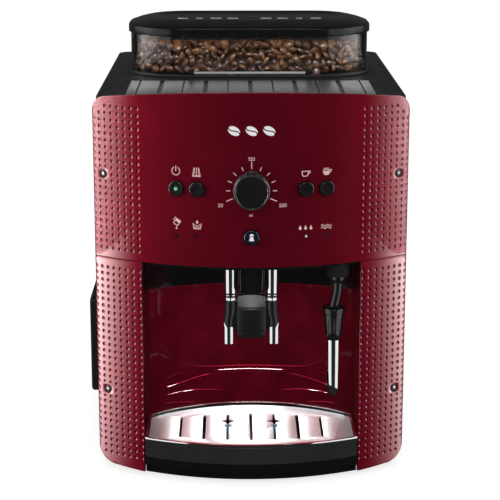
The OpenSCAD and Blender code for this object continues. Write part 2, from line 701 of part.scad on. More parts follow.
module grinder_housing() color("#3a3b3d") translate([0, hopper_y, 0]) difference() {
    translate([0, 0, 247]) cylinder(r = 36, h = 37.7);
    translate([0, 0, 262]) cylinder(r = 27, h = 30);
    translate([0, 0, 250]) cylinder(r = 18.5, h = 30);
    translate([0, 0, 240]) cylinder(r = 4, h = 30);
    rotate([0, 0, 200]) translate([14, 0, 255]) rotate([0, 90, 0]) cylinder(r = 4.5, h = 30);
}

module grinder_burr() color("#a6a9ab") translate([0, hopper_y, 0]) {
    translate([0, 0, 262.5]) cylinder(r1 = 17, r2 = 9, h = 18);
    translate([0, 0, 244.6]) cylinder(r = 3, h = 20);
}

module grinder_motor() color("#8f9295") translate([0, hopper_y, 0]) difference() {
    translate([0, 0, 219.8]) cylinder(r = 27, h = 26.4);
    translate([0, 0, 244.4]) cylinder(r = 3.6, h = 10);
}

module grounds_chute() color("#4c4e50") tube([[-34.7, 145.4, 255], [-38.5, 144, 254], [-41, 143, 250],
    [-41.5, 142.5, 244], [-39.5, 142, 236], [-35.5, 141, 228], [-32, 140, 219], [-30.5, 139, 209],
    [-30.5, 139, 200]], 4.5, 12);

module brew_arm(w, z0, z1, from) rotate([0, 0, drive_a]) block(from, drive_r, -w / 2, w / 2, z0, z1);

module brew_chamber() color("#2c2d2f") translate([brew_x, brew_y, 0]) {
    difference() {
        translate([0, 0, 122]) cylinder(r = 27, h = 70);
        translate([0, 0, 100]) cylinder(r = 21.05, h = 120);
        brew_arm(9, 133, 300, 15);
    }
    difference() {
        for (x = [-33, 33], y = [-33, 33]) translate([x, y, 119.2]) cylinder(r = 3.4, h = 85);
    }
    difference() {
        translate([-38, -38, plate_z]) cube([76, 76, 4]);
        translate([-0.5, -6, 190]) cylinder(r = 8, h = 20);
    }
    for (x = [-33, 33], y = [-33, 33]) translate([x, y, 119.2]) cylinder(r = 5, h = 3);
    for (x = [-33, 33], y = [-33, 33]) translate([x, y, 130]) rotate([0, 0, atan2(-y, -x)])
        block(0, 21, -2, 2, 0, 8);
    translate([4, -38, plate_z + 2]) rotate([90, 0, 0]) cylinder(r = 2, h = 4);
}

module brew_piston() color("#b9772f") translate([brew_x, brew_y, 0]) difference() {
    union() {
        translate([0, 0, 176]) cylinder(r = 21, h = 14);
        brew_arm(8, 180, 188, 10);
        rotate([0, 0, drive_a]) translate([drive_r, 0, 176]) cylinder(r = 7, h = 14);
    }
    translate([-0.5, -6, 170]) cylinder(r = 6.5, h = 60);
    rotate([0, 0, drive_a]) translate([drive_r, 0, 170]) cylinder(r = 4.35, h = 30);
}

module brew_screw() color("#b4b7ba") translate([brew_x, brew_y, 0]) rotate([0, 0, drive_a])
    translate([drive_r, 0, 140.4]) difference() {
        cylinder(r = 4, h = 66);
        for (i = [0:12]) translate([0, 0, 4 + 4.6 * i]) ring(6, 3.6, 1.2);
    }

module brew_motor() color("#909396") translate([brew_x, brew_y, 0]) rotate([0, 0, drive_a])
    translate([drive_r, 0, 119.2]) difference() {
        union() {
            cylinder(r = 13, h = 21);
            cylinder(r = 14.5, h = 5);
        }
        translate([0, 0, 10]) cylinder(r = 5, h = 30);
    }

module thermoblock() color("#b4b7ba") difference() {
    union() {
        block(34, 96, 150, 202, 128, 196);
        for (i = [0:4]) block(32, 98, 152 + i * 11, 156 + i * 11, 126, 198);
    }
    translate([50, 160, 180]) cylinder(r = 3, h = 40);
    translate([80, 160, 180]) cylinder(r = 3, h = 40);
}

module water_pump() color("#7d8083") translate([58, 0, 40]) rotate([-90, 0, 0]) {
    translate([0, 0, 86]) cylinder(r = 10, h = 20);
    translate([0, 0, 100]) cylinder(r = 20, h = 40);
    translate([0, 0, 140]) cylinder(r = 9, h = 26);
}

module power_board() color("#2f6b3d") {
    block(107, 108.6, 76, 196, 146, 270);
    for (y = [82, 190], z = [152, 264])
        translate([108, y, z]) rotate([0, 90, 0]) cylinder(r = 2.5, h = body_x - wall - 108.3);
    block(94, 107, 84, 108, 216, 240);
    block(90, 107, 150, 182, 222, 258);
    block(98, 107, 120, 140, 190, 214);
}

module hoses() color("#c9cbc7") {
    // tank to pump
    tube([[0, 251.5, 130.4], [0, 251.5, 118], [8, 251, 104], [24, 249, 88], [42, 244, 68],
          [54, 236, 52], [58, 226, 44], [58, 212, 40], [58, 190, 40], [58, 166.3, 40]], 3);
    // pump to thermoblock
    tube([[58, 85.7, 40], [58, 80, 41], [57, 73, 46], [52, 71, 60], [46, 71, 90], [44, 71, 120],
          [44, 72, 150], [44, 80, 180], [46, 100, 204], [48, 130, 212], [50, 152, 211], [50, 160, 206],
          [50, 160, 198.2]], 3);
    // thermoblock to wand
    tube([[80, 160, 198.2], [80, 159, 206], [79, 150, 213], [78, 130, 214], [76, 100, 214], [74, 70, 213],
          [71, 40, 209], [68.5, 10, 202], [67.5, -10, 195], [67.5, -18, 189], [67.5, -18, 184.8]], 3);
    // brew chamber to spout
    tube([[-26, 102.9, 205.4], [-26, 96, 205.6], [-26, 86, 206], [-24, 68, 207.4], [-18, 40, 205.5],
          [-6, 8, 200], [-1, -12, 194.5], [0, -22, 189.5], [0, -22, 185]], 3);
}

module cord_gland() color("#141414") translate([84, 0, 26]) rotate([-90, 0, 0]) difference() {
    union() {
        translate([0, 0, back_y - 6]) cylinder(r = 6.8, h = 6);
        translate([0, 0, back_y - wall - 5.4]) cylinder(r = 9, h = 5.2);
    }
    translate([0, 0, back_y - 20]) cylinder(r = 3.6, h = 40);
}

placed() base_pan();
placed() rubber_feet();
placed() left_side_panel();
placed() right_side_panel();
placed() rear_panel();
placed() top_deck();
placed() cup_grid();
placed() front_panel();
placed() front_housing();
placed() bay_liner();
placed() bay_ceiling();
placed() front_screws();
placed() base_screws();
placed() dial_knob();
placed() dial_shaft();
placed() power_button();
placed() steam_button();
placed() one_cup_button();
placed() two_cup_button();
placed() service_button();
placed() indicator_lights();
placed() control_board();
placed() dial_encoder();
placed() spout_column();
placed() guide_tubes();
placed() spout_slider();
placed() spout_nozzles();
placed() wand_socket();
placed() wand_arm();
placed() wand_grip();
placed() wand_sleeve();
placed() wand_tip();
placed() drip_tray();
placed() drip_grid();
placed() float_left();
placed() float_right();
placed() grounds_drawer();
placed() drawer_front();
placed() hopper_collar();
placed() hopper();
placed() coffee_beans();
placed() grind_adjuster();
placed() hopper_lid();
placed() lid_seal();
placed() water_tank();
placed() tank_lid();
placed() inner_frame();
placed() grinder_housing();
placed() grinder_burr();
placed() grinder_motor();
placed() grounds_chute();
placed() brew_chamber();
placed() brew_piston();
placed() brew_screw();
placed() brew_motor();
placed() thermoblock();
placed() water_pump();
placed() power_board();
placed() hoses();
placed() cord_gland();
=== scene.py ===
"""Looks for the bean-to-cup coffee machine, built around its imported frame.

Lengths are millimetres in the machine's own axes: X = 0 is its middle plane, Y = 0 the plane of the front
corners, +Y the back and Z = 0 the worktop. row() turns them into the frame's metres."""
import json
import math
import random

import bmesh
import bpy
from mathutils import Matrix, Vector


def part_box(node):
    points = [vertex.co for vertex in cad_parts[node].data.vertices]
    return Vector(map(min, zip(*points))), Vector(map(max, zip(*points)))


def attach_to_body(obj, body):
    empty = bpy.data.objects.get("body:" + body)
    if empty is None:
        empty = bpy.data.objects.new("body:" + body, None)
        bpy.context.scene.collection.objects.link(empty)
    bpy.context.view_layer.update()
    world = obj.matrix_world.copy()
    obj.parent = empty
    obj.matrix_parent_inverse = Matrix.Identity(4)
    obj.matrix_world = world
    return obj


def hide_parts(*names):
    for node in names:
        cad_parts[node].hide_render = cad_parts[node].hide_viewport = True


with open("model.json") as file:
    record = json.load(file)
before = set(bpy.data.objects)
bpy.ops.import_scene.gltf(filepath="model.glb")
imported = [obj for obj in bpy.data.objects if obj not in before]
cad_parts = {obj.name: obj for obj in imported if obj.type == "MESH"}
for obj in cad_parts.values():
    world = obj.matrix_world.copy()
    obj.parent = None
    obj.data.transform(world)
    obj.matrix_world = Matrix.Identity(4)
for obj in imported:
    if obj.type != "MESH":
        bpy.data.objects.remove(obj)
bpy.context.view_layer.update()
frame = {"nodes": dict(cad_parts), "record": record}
sin, cos, pi, rad = math.sin, math.cos, math.pi, math.radians
MM = 0.001
RETURN_Y = 14.0                    # the front shells' sides end here
panel_lo, panel_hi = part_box("front_panel")
ORIGIN = Vector(((panel_lo.x + panel_hi.x) / 2, panel_hi.y - RETURN_Y * MM, 0))
BODY = {n: b for b, ns in frame["record"]["behaviour"]["bodies"].items() for n in ns}
SLOT = {p["node"]: p["material_slot"] for p in frame["record"]["subparts"]}


def row(p):
    return ORIGIN + Vector(p) * MM


def machine_box(node):
    """A node's corners in the machine's millimetres."""
    lo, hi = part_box(node)
    return (lo - ORIGIN) / MM, (hi - ORIGIN) / MM


# ---------------------------------------------------------------- camera
camera = bpy.data.objects.new("camera", bpy.data.cameras.new("camera"))
bpy.context.scene.collection.objects.link(camera)
camera.data.lens = 116.95
camera.data.clip_start = 0.05
camera.location = row((-13.5, -1239.6, 487.7))
camera.rotation_euler = (row((-0.2, 60, 165.3)) - camera.location).to_track_quat("-Z", "Y").to_euler()
bpy.context.scene.camera = camera

# ---------------------------------------------------------------- front geometry
FRONT_R, HALF_W, FILLET, WALL = 195.0, 122.5, 3.0, 2.6
ARC_Y = math.sqrt(FRONT_R ** 2 - HALF_W ** 2)
FILLET_A = math.asin((HALF_W - FILLET) / (FRONT_R - FILLET))
FILLET_Y = ARC_Y - (FRONT_R - FILLET) * cos(FILLET_A)
S_ARC = FRONT_R * FILLET_A                          # the arc ends at this arc length
S_SIDE = S_ARC + FILLET * (pi / 2 - FILLET_A)       # and the flat side starts here
S_END = S_SIDE + RETURN_Y - FILLET_Y
SPLIT_Z, CONTROL_Z, LOWER_Z, GRID_Z = 176.5, 237.0, 200.5, 33.2


def front(s, z, d=0.0):
    """The point at arc length s from the middle of the front, d inside its surface."""
    t, side = abs(s), (1 if s >= 0 else -1)
    if t <= S_ARC:
        a = t / FRONT_R
        x, y = (FRONT_R - d) * sin(a), ARC_Y - (FRONT_R - d) * cos(a)
    elif t <= S_SIDE:
        a = FILLET_A + (t - S_ARC) / FILLET
        x, y = HALF_W - FILLET + (FILLET - d) * sin(a), FILLET_Y - (FILLET - d) * cos(a)
    else:
        x, y = HALF_W - d, FILLET_Y + t - S_SIDE
    return (side * x, y, z)


def along(x):
    """Arc length of the point of the front at x."""
    return FRONT_R * math.asin(x / FRONT_R)


def surface_y(x):
    return ARC_Y - math.sqrt(FRONT_R ** 2 - x * x)


def on_front(x, z):
    """Axes of a point on the front: +X right, +Y up, +Z out of the panel."""
    a = math.asin(x / FRONT_R)
    right, out = Vector((cos(a), sin(a), 0)), Vector((sin(a), -cos(a), 0))
    up = Vector((0, 0, 1))
    return Matrix.Translation((x, surface_y(x), z)) @ Matrix((right, up, out)).transposed().to_4x4()


# height at one end, rise at the other and corner radius of the front's edges
TOP_Z, TOP_RISE, TOP_CORNER = 302.0, 9.0, 12.0
BOTTOM_Z, BOTTOM_RISE, BOTTOM_CORNER = 2.0, 4.4, 14.0


def corner_turn(x, corner):
    """How far a corner of this radius turns in at x."""
    past = max(0.0, x - (HALF_W - corner))
    return corner - math.sqrt(max(0.0, corner ** 2 - past ** 2))


def top_edge(s):
    x = abs(front(s, 0)[0])
    arch = min(x, HALF_W - TOP_CORNER) / HALF_W
    return TOP_Z + TOP_RISE * (1 - arch ** 2) - corner_turn(x, TOP_CORNER)


def bottom_edge(s):
    x = abs(front(s, 0)[0])
    arch = min(x, HALF_W - BOTTOM_CORNER) / HALF_W
    return BOTTOM_Z + BOTTOM_RISE * arch ** 2 + corner_turn(x, BOTTOM_CORNER)


# ---------------------------------------------------------------- mesh tools
class Shape:
    """Vertices in machine millimetres, faces and their material numbers."""

    def __init__(self):
        self.v, self.f, self.m = [], [], []

    def add(self, verts, faces, mat=0, at=None):
        n = len(self.v)
        self.v += [tuple(at @ Vector(p)) if at else tuple(p) for p in verts]
        self.f += [tuple(n + i for i in f) for f in faces]
        self.m += [mat] * len(faces)

    def rings(self, rings, mat=0, closed=True, caps=(True, True), at=None):
        n, faces = len(rings[0]), []
        for i in range(len(rings) - 1):
            for k in range(n if closed else n - 1):
                j = (k + 1) % n
                faces.append((i * n + k, i * n + j, (i + 1) * n + j, (i + 1) * n + k))
        if caps[0]:
            faces.append(tuple(range(n))[::-1])
        if caps[1]:
            faces.append(tuple((len(rings) - 1) * n + k for k in range(n)))
        self.add([p for r in rings for p in r], faces, mat, at)

    def lathe(self, profile, at=None, mat=0, n=40, caps=(True, True)):
        """profile is (radius, height) from the bottom up."""
        self.rings([circle(r, h, n) for r, h in profile], mat, True, caps, at)

    def slab(self, outline, z0, z1, r=0.5, mat=0, at=None, steps=3):
        """A prism with rounded edges."""
        turn = [pi / 2 * i / steps for i in range(steps + 1)]
        rings = [level(inset(outline, r * (1 - sin(t))), z0 + r * (1 - cos(t))) for t in turn]
        rings += [level(inset(outline, r * (1 - cos(t))), z1 - r * (1 - sin(t))) for t in turn]
        self.rings(rings, mat, at=at)

    def tube(self, points, radius, n=16, mat=0):
        """radius is a number or one per point."""
        pts = [Vector(p) for p in points]
        radii = radius if hasattr(radius, "__len__") else [radius] * len(pts)
        side, rings = None, []
        for i, p in enumerate(pts):
            d = (pts[min(i + 1, len(pts) - 1)] - pts[max(i - 1, 0)]).normalized()
            if side is None:
                side = d.cross(Vector((1, 0, 0)) if abs(d.z) > 0.9 else Vector((0, 0, 1))).normalized()
            side = (side - d * side.dot(d)).normalized()
            up = d.cross(side)
            turn = [2 * pi * k / n for k in range(n)]
            rings.append([p + radii[i] * (cos(a) * side + sin(a) * up) for a in turn])
        self.rings(rings, mat)


def circle(r, z, n):
    return [(r * cos(2 * pi * k / n), r * sin(2 * pi * k / n), z) for k in range(n)]


def level(outline, z):
    return [(x, y, z) for x, y in outline]


def inset(points, d):
    """A closed counterclockwise outline, moved inwards by d."""
    out, n = [], len(points)
    for i in range(n):
        a, b, c = Vector(points[i - 1]), Vector(points[i]), Vector(points[(i + 1) % n])
        e, f = (b - a).normalized(), (c - b).normalized()
        p, q = Vector((e.y, -e.x)), Vector((f.y, -f.x))
        m = (p + q) / max(1 + p.dot(q), 0.3)
        out.append((b.x - d * m.x, b.y - d * m.y))
    return out


def arc(cx, cy, r, a0, a1, n, first=0):
    return [(cx + r * cos(rad(a0 + (a1 - a0) * i / n)), cy + r * sin(rad(a0 + (a1 - a0) * i / n)))
            for i in range(first, n + 1)]


def oblong(x0, y0, x1, y1):
    return [(x0, y0), (x1, y0), (x1, y1), (x0, y1)]


def rounded(w, d, r, n=8, cx=0.0, cy=0.0):
    """An oblong of w by d round (cx, cy), with corners of radius r."""
    x, y = w / 2 - r, d / 2 - r
    return (arc(cx + x, cy + y, r, 0, 90, n) + arc(cx - x, cy + y, r, 90, 180, n)
            + arc(cx - x, cy - y, r, 180, 270, n) + arc(cx + x, cy - y, r, 270, 360, n))


def link(name, mesh):
    obj = bpy.data.objects.new(name, mesh)
    bpy.context.scene.collection.objects.link(obj)
    return obj


def to_object(name, shape, mats, orient=True, smooth=32):
    """The shape as an object; edges sharper than smooth degrees stay hard."""
    mesh = bpy.data.meshes.new(name)
    mesh.from_pydata([row(p) for p in shape.v], [], shape.f)
    mesh.polygons.foreach_set("material_index", shape.m)
    for m in mats:
        mesh.materials.append(m)
    bm = bmesh.new()
    bm.from_mesh(mesh)
    bmesh.ops.remove_doubles(bm, verts=bm.verts, dist=3e-6)
    bmesh.ops.dissolve_degenerate(bm, edges=bm.edges, dist=1e-6)
    if orient:
        bmesh.ops.recalc_face_normals(bm, faces=bm.faces)
    bm.to_mesh(mesh)
    bm.free()
    mesh.shade_smooth()
    mesh.set_sharp_from_angle(angle=rad(smooth))
    return link(name, mesh)


def attach(obj, node):
    """obj rides with this node."""
    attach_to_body(obj, BODY[node])


def settle(obj, node):
    """obj stands for this node."""
    attach(obj, node)
    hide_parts(node)


def applied(obj):
    """Makes the modifiers of obj real."""
    bpy.context.view_layer.update()
    graph = bpy.context.evaluated_depsgraph_get()
    mesh = bpy.data.meshes.new_from_object(obj.evaluated_get(graph))
    old = obj.data
    obj.modifiers.clear()
    obj.data = mesh
    bpy.data.meshes.remove(old)


def round_edges(obj, width, segments=3):
    mod = obj.modifiers.new("edges", "BEVEL")
    mod.width, mod.segments, mod.limit_method, mod.angle_limit = width * MM, segments, "ANGLE", rad(32)
    mod.harden_normals = False
    applied(obj)
    obj.data.shade_smooth()
    obj.data.set_sharp_from_angle(angle=rad(32))


def carve(obj, cutters):
    """Cuts the cutters out of obj, and deletes them."""
    for c in cutters:
        mod = obj.modifiers.new("cut", "BOOLEAN")
        mod.operation, mod.solver, mod.object = "DIFFERENCE", "EXACT", c
    applied(obj)
    for c in cutters:
        bpy.data.objects.remove(c)


def refine(node, width, mat, segments):
    """A copy of a CAD node with its edges rounded."""
    mesh = frame["nodes"][node].data.copy()
    mesh.materials.clear()
    mesh.materials.append(mat)
    mesh.polygons.foreach_set("material_index", [0] * len(mesh.polygons))
    mesh.name = node + "_looks"
    bm = bmesh.new()
    bm.from_mesh(mesh)
    bmesh.ops.remove_doubles(bm, verts=bm.verts, dist=2e-6)
    bmesh.ops.dissolve_limit(bm, angle_limit=rad(1.5), verts=bm.verts, edges=bm.edges)
    bm.to_mesh(mesh)
    bm.free()
    obj = link(node + "_looks", mesh)
    round_edges(obj, width, segments)
    settle(obj, node)


# ---------------------------------------------------------------- materials
def add_node(tree, kind, inputs=None, **settings):
    """A new shader node; inputs gives a value or another node's output for a socket."""
    new = tree.nodes.new("ShaderNode" + kind)
    for key, value in settings.items():
        setattr(new, key, value)
    for key, value in (inputs or {}).items():
        if isinstance(value, bpy.types.NodeSocket):
            tree.links.new(value, new.inputs[key])
        else:
            new.inputs[key].default_value = value
    return new


def blank_material(name):
    mat = bpy.data.materials.new(name)
    mat.use_nodes = True
    mat.node_tree.nodes.clear()
    return mat, mat.node_tree


def material(name, color, rough, metallic=0.0, vary=0.1, grain=0.0, grain_scale=2500, spot=60,
             rough_vary=0.06, stretch=(1, 1, 1), coat=0.0, coat_rough=0.03, transmission=0.0, ior=1.5,
             specular=0.5):
    """A procedural material: noise varies its colour and roughness, and a finer grain lifts its surface."""
    mat = bpy.data.materials.new(name)
    mat.use_nodes = True
    tree = mat.node_tree
    shader = tree.nodes["Principled BSDF"]
    for socket, value in {"Metallic": metallic, "Coat Weight": coat, "Coat Roughness": coat_rough, "IOR": ior,
                          "Transmission Weight": transmission, "Specular IOR Level": specular}.items():
        shader.inputs[socket].default_value = value
    where = add_node(tree, "TexCoord")
    place = add_node(tree, "Mapping", {"Vector": where.outputs["Object"], "Scale": stretch})

    def noise(scale, detail=3.0):
        inputs = {"Vector": place.outputs["Vector"], "Scale": scale, "Detail": detail}
        return add_node(tree, "TexNoise", inputs).outputs["Fac"]

    low, high = 0.3, 0.7                        # the noise mostly lies between these
    ramp = add_node(tree, "ValToRGB", {"Fac": noise(spot)})
    for element, position, change in zip(ramp.color_ramp.elements, (low, high), (-vary, vary)):
        element.position = position
        element.color = [min(1, c * (1 + change)) for c in color] + [1]
    tree.links.new(ramp.outputs["Color"], shader.inputs["Base Color"])
    spread = add_node(tree, "MapRange", {"Value": noise(spot * 2.3), "From Min": low, "From Max": high,
                                         "To Min": max(0.0, rough - rough_vary),
                                         "To Max": min(1.0, rough + rough_vary)})
    tree.links.new(spread.outputs["Result"], shader.inputs["Roughness"])
    if grain:
        height = noise(grain_scale, 2.0)
        bump = add_node(tree, "Bump", {"Strength": grain, "Distance": 0.0001, "Height": height})
        tree.links.new(bump.outputs["Normal"], shader.inputs["Normal"])
    return mat


SHELL_RED = {"vary": 0.06, "spot": 18, "rough_vary": 0.04, "grain_scale": 240, "specular": 0.0}
RED = material("red_gloss", (0.098, 0.0024, 0.0088), 0.4, 0.55, coat=1.0, grain=0.02, **SHELL_RED)
# the dimples' red is a little darker than the shell's: painted shade in the hollows; their rougher, thinner
# coat is the surface's own
RED_PIT_SHADED = material("red_dimple_shaded", (0.085, 0.0024, 0.008), 0.42, 0.45, coat=0.9, coat_rough=0.1, grain=0.02,
                   **SHELL_RED)
RED_SIDE = material("red_side", (0.098, 0.0024, 0.0088), 0.4, 0.4, coat=0.2, coat_rough=0.15, grain=0.05,
                    **SHELL_RED)
RED_WALL = material("red_liner", (0.105, 0.003, 0.010), 0.4, 0.3, vary=0.08, spot=25, coat=0.6,
                    coat_rough=0.04, grain=0.02, grain_scale=300, specular=0.0)
BLACK = material("black_satin", (0.012, 0.012, 0.0125), 0.42, vary=0.15, grain=0.35, grain_scale=3500)
GLOSS = material("black_gloss", (0.006, 0.006, 0.0065), 0.12, vary=0.15, rough_vary=0.04, coat=0.5,
                 grain=0.03, grain_scale=300)
SLIDER = material("slider_black", (0.006, 0.006, 0.0065), 0.3, vary=0.15, rough_vary=0.02, grain=0.02,
                  grain_scale=300)
LID = material("lid_black", (0.006, 0.006, 0.0065), 0.22, vary=0.15, rough_vary=0.03, coat=0.15, specular=0.3,
               grain=0.04)
TRAY_LOW = material("tray_base_black", (0.004, 0.004, 0.0042), 0.4, vary=0.12, grain=0.3, grain_scale=3000,
                    specular=0.25)
TRAY = material("tray_black", (0.018, 0.018, 0.0185), 0.36, vary=0.12, grain=0.3, grain_scale=3000)
BLACK_DIAL = material("dial_black", (0.010, 0.010, 0.0105), 0.3, vary=0.15, grain=0.12, grain_scale=2800,
                      coat=0.15)
DARK_STEEL = material("dark_steel", (0.035, 0.035, 0.038), 0.4, 0.7, vary=0.15, grain=0.1)
# near-black for the plate under the cup deck's ribs: painted shadow in the gaps between them
SHADOW = material("painted_shadow_black", (0.004, 0.004, 0.004), 0.6, grain=0.3)
CHROME = material("chrome", (0.86, 0.865, 0.87), 0.045, 1.0, vary=0.03, rough_vary=0.02, grain=0.01,
                  grain_scale=500)
BRUSHED = material("brushed", (0.62, 0.67, 0.675), 0.36, 0.7, vary=0.06, rough_vary=0.03, grain=0.1,
                   grain_scale=320, stretch=(1, 9, 1), spot=90)
STEEL = material("steel", (0.5, 0.505, 0.51), 0.3, 1.0, vary=0.1, grain=0.15, grain_scale=1500)
DECK = material("deck_grey", (0.07, 0.072, 0.076), 0.34, 0.6, vary=0.12, grain=0.15, grain_scale=1800,
                stretch=(1, 6, 1))
CLEAR = material("clear", (0.93, 0.94, 0.94), 0.03, vary=0.02, rough_vary=0.015, transmission=1.0, ior=1.45)
SMOKE = material("smoke", (0.30, 0.33, 0.36), 0.08, vary=0.04, rough_vary=0.03, transmission=0.9, ior=1.45,
                 grain=0.05)
RUBBER = material("rubber", (0.014, 0.014, 0.014), 0.75, vary=0.2, grain=0.6, grain_scale=1800)
LENS = material("lens", (0.04, 0.003, 0.006), 0.25, vary=0.1, coat=0.4, grain=0.03)
LENS_WHITE = material("lens_white", (0.75, 0.72, 0.7), 0.3, vary=0.08, grain=0.05)
NAVY = material("navy_gloss", (0.004, 0.006, 0.013), 0.12, vary=0.15, rough_vary=0.04, coat=0.7, grain=0.03)
BOARD = material("board", (0.02, 0.13, 0.05), 0.45, vary=0.25, grain=0.4, grain_scale=1200)
ALU = material("aluminium", (0.62, 0.63, 0.64), 0.4, 0.9, vary=0.12, grain=0.5, grain_scale=700)
WHITE = material("frame_white", (0.62, 0.62, 0.59), 0.5, vary=0.06, grain=0.3, grain_scale=2200)
BLUE = material("float_blue", (0.16, 0.62, 0.78), 0.25, vary=0.1, coat=0.3, grain=0.05)
AMBER = material("piston_amber", (0.42, 0.19, 0.04), 0.3, vary=0.12, coat=0.3, grain=0.1)
HOSE = material("hose", (0.55, 0.56, 0.54), 0.5, vary=0.08, grain=0.3)
INK = material("print_pink", (0.80, 0.50, 0.50), 0.5, vary=0.06, grain=0.1)
PALE_INK = material("print_white", (0.85, 0.84, 0.84), 0.45, vary=0.05, grain=0.1)
GREEN = material("lit_green", (0.10, 0.32, 0.20), 0.3, vary=0.1, grain=0.05)
ROASTS = [(0.050, 0.020, 0.009), (0.085, 0.034, 0.013), (0.14, 0.060, 0.022)]
BEANS = [material("bean_%d" % i, c, 0.34, vary=0.35, spot=220, coat=0.25, coat_rough=0.2, grain=0.5,
                  grain_scale=1100) for i, c in enumerate(ROASTS)]
FINISH = {"red_gloss": RED, "black_satin": BLACK, "black_gloss": GLOSS, "navy_gloss": NAVY, "chrome": CHROME,
          "brushed": BRUSHED, "steel": STEEL, "deck_grey": DECK, "clear": CLEAR, "smoke": SMOKE,
          "beans": BEANS[0], "rubber": RUBBER, "lens": LENS, "board": BOARD, "aluminium": ALU,
          "frame_white": WHITE, "float_blue": BLUE, "piston_amber": AMBER, "hose": HOSE}
for node, obj in frame["nodes"].items():
    obj.data.materials.clear()
    obj.data.materials.append(FINISH[SLOT[node]])

# ---------------------------------------------------------------- dimpled front
COLUMN_S, COLUMN_STEP, COLUMNS = 89.85, 5.87, 8
ROW_STEP, SEAM_Z = 5.3, 176.65      # rows are spaced from the seam between the two shells
LINE_S, LINE_Z = COLUMN_STEP / 4, ROW_STEP / 4
DIMPLE = [(1.8, 0.0), (1.6, 0.0), (1.4, 0.09), (1.05, 0.32), (0.5, 0.48)]
DIMPLE_DEPTH = 0.52
REACH = 3.6                         # a dimple nearer than this to an edge is left out
SCREW_COLUMNS = (5, 6)              # each wing's screw stands between these
LIP = 0.3                           # rounding of the shells' top and bottom edges
BUTTON_TILE, LIGHT_TILE, PLAY = 7.3, 3.0, 0.4       # half sizes of the tiles; play round a button
BUTTONS = {"power_button": -57.0, "steam_button": -41.2, "one_cup_button": 41.2, "two_cup_button": 57.0}
BUTTON_R, LIGHTS_X, SCREW_X, SCREW_R = 5.8, (-57.0, -41.5, 41.5, 57.0), 114.2, 3.1


class Skin:
    """A lattice on the front with round tiles cut into it."""

    def __init__(self, shape, s_lines, z_lines, low, high):
        self.shape, self.s, self.z, self.low, self.high = shape, s_lines, z_lines, low, high
        self.index, self.used, self.mat = {}, set(), 0

    def point(self, s, z, d=0.0):
        self.shape.v.append(front(s, z, d))
        return len(self.shape.v) - 1

    def node(self, i, j):
        """A lattice point, kept between the skin's low and high edges."""
        if (i, j) not in self.index:
            s = self.s[i]
            self.index[i, j] = self.point(s, min(max(self.z[j], self.low(s)), self.high(s)))
        return self.index[i, j]

    def face(self, *corners):
        self.shape.f.append(corners)
        self.shape.m.append(self.mat)

    def span(self, lines, a, b):
        """Numbers of the lines nearest to a and b."""
        near = lambda v: min(range(len(lines)), key=lambda k: abs(lines[k] - v))
        return near(a), near(b)

    def tile(self, cs, cz, half_s, half_z, rings, depth=None):
        """Rings of (radius, depth) round (cs, cz) in a part of the lattice, closed at depth if it's given."""
        i0, i1 = self.span(self.s, cs - half_s, cs + half_s)
        j0, j1 = self.span(self.z, cz - half_z, cz + half_z)
        edge = ([(i, j0) for i in range(i0, i1)] + [(i1, j) for j in range(j0, j1)]
                + [(i, j1) for i in range(i1, i0, -1)] + [(i0, j) for j in range(j1, j0, -1)])
        last = [self.node(*e) for e in edge]
        angle = [math.atan2(self.z[j] - cz, self.s[i] - cs) for i, j in edge]
        n = len(edge)
        for r, d in rings:
            ring = [self.point(cs + r * cos(a), cz + r * sin(a), d) for a in angle]
            for k in range(n):
                self.face(last[k], last[(k + 1) % n], ring[(k + 1) % n], ring[k])
            last = ring
            # a dimple's rings past the first take the darker red: painted shade
            self.mat = 1 if depth == DIMPLE_DEPTH else 0
        if depth is not None:
            centre = self.point(cs, cz, depth)
            for k in range(n):
                self.face(last[k], last[(k + 1) % n], centre)
        self.mat = 0
        self.used |= {(i, j) for i in range(i0, i1) for j in range(j0, j1)}

    def fill(self):
        """Faces for the lattice that no tile has taken."""
        for i in range(len(self.s) - 1):
            for j in range(len(self.z) - 1):
                if (i, j) in self.used:
                    continue
                c = [self.node(i, j), self.node(i + 1, j), self.node(i + 1, j + 1), self.node(i, j + 1)]
                zs = [self.shape.v[k][2] for k in c]
                if zs[3] - zs[0] + zs[2] - zs[1] > 1e-4:
                    self.face(*c)

    def rim(self, upper):
        """Rounds the edge at the top or bottom and turns it back through the wall."""
        j, way, edge = (len(self.z) - 1, 1, self.high) if upper else (0, -1, self.low)
        first_ring = last = [self.node(i, j) for i in range(len(self.s))]
        normals = []
        for i in range(len(self.s)):
            a, b = self.s[max(i - 1, 0)], self.s[min(i + 1, len(self.s) - 1)]
            slope = (edge(b) - edge(a)) / (b - a)
            size = math.hypot(1, slope)
            normals.append((-way * slope / size, way / size))
        for t, deep in ((pi / 6, 0), (pi / 3, 0), (pi / 2, 0), (pi / 2, WALL)):
            ring = []
            for s, corner, (ds, dz) in zip(self.s, first_ring, normals):
                z, out = self.shape.v[corner][2], LIP * sin(t)
                ring.append(self.point(s + ds * out, z + dz * out, deep or LIP * (1 - cos(t))))
            for i in range(len(self.s) - 1):
                q = (last[i], last[i + 1], ring[i + 1], ring[i])
                self.face(*(q if upper else q[::-1]))
            last = ring
        return last

    def back(self, top, bottom):
        """Joins the ends of both rims behind the wall."""
        for i in range(len(self.s) - 1):
            self.face(bottom[i + 1], bottom[i], top[i], top[i + 1])


def symmetrical(lines):
    return sorted({round(v, 5) for v in lines} | {round(-v, 5) for v in lines})


first = COLUMN_S - COLUMN_STEP / 2
outer_lines = sorted([first + LINE_S * k for k in range(4 * COLUMNS + 1)] + [S_ARC + 0.2, S_END]
                     + [S_SIDE + v for v in (0.9, 3, 6, 9)])


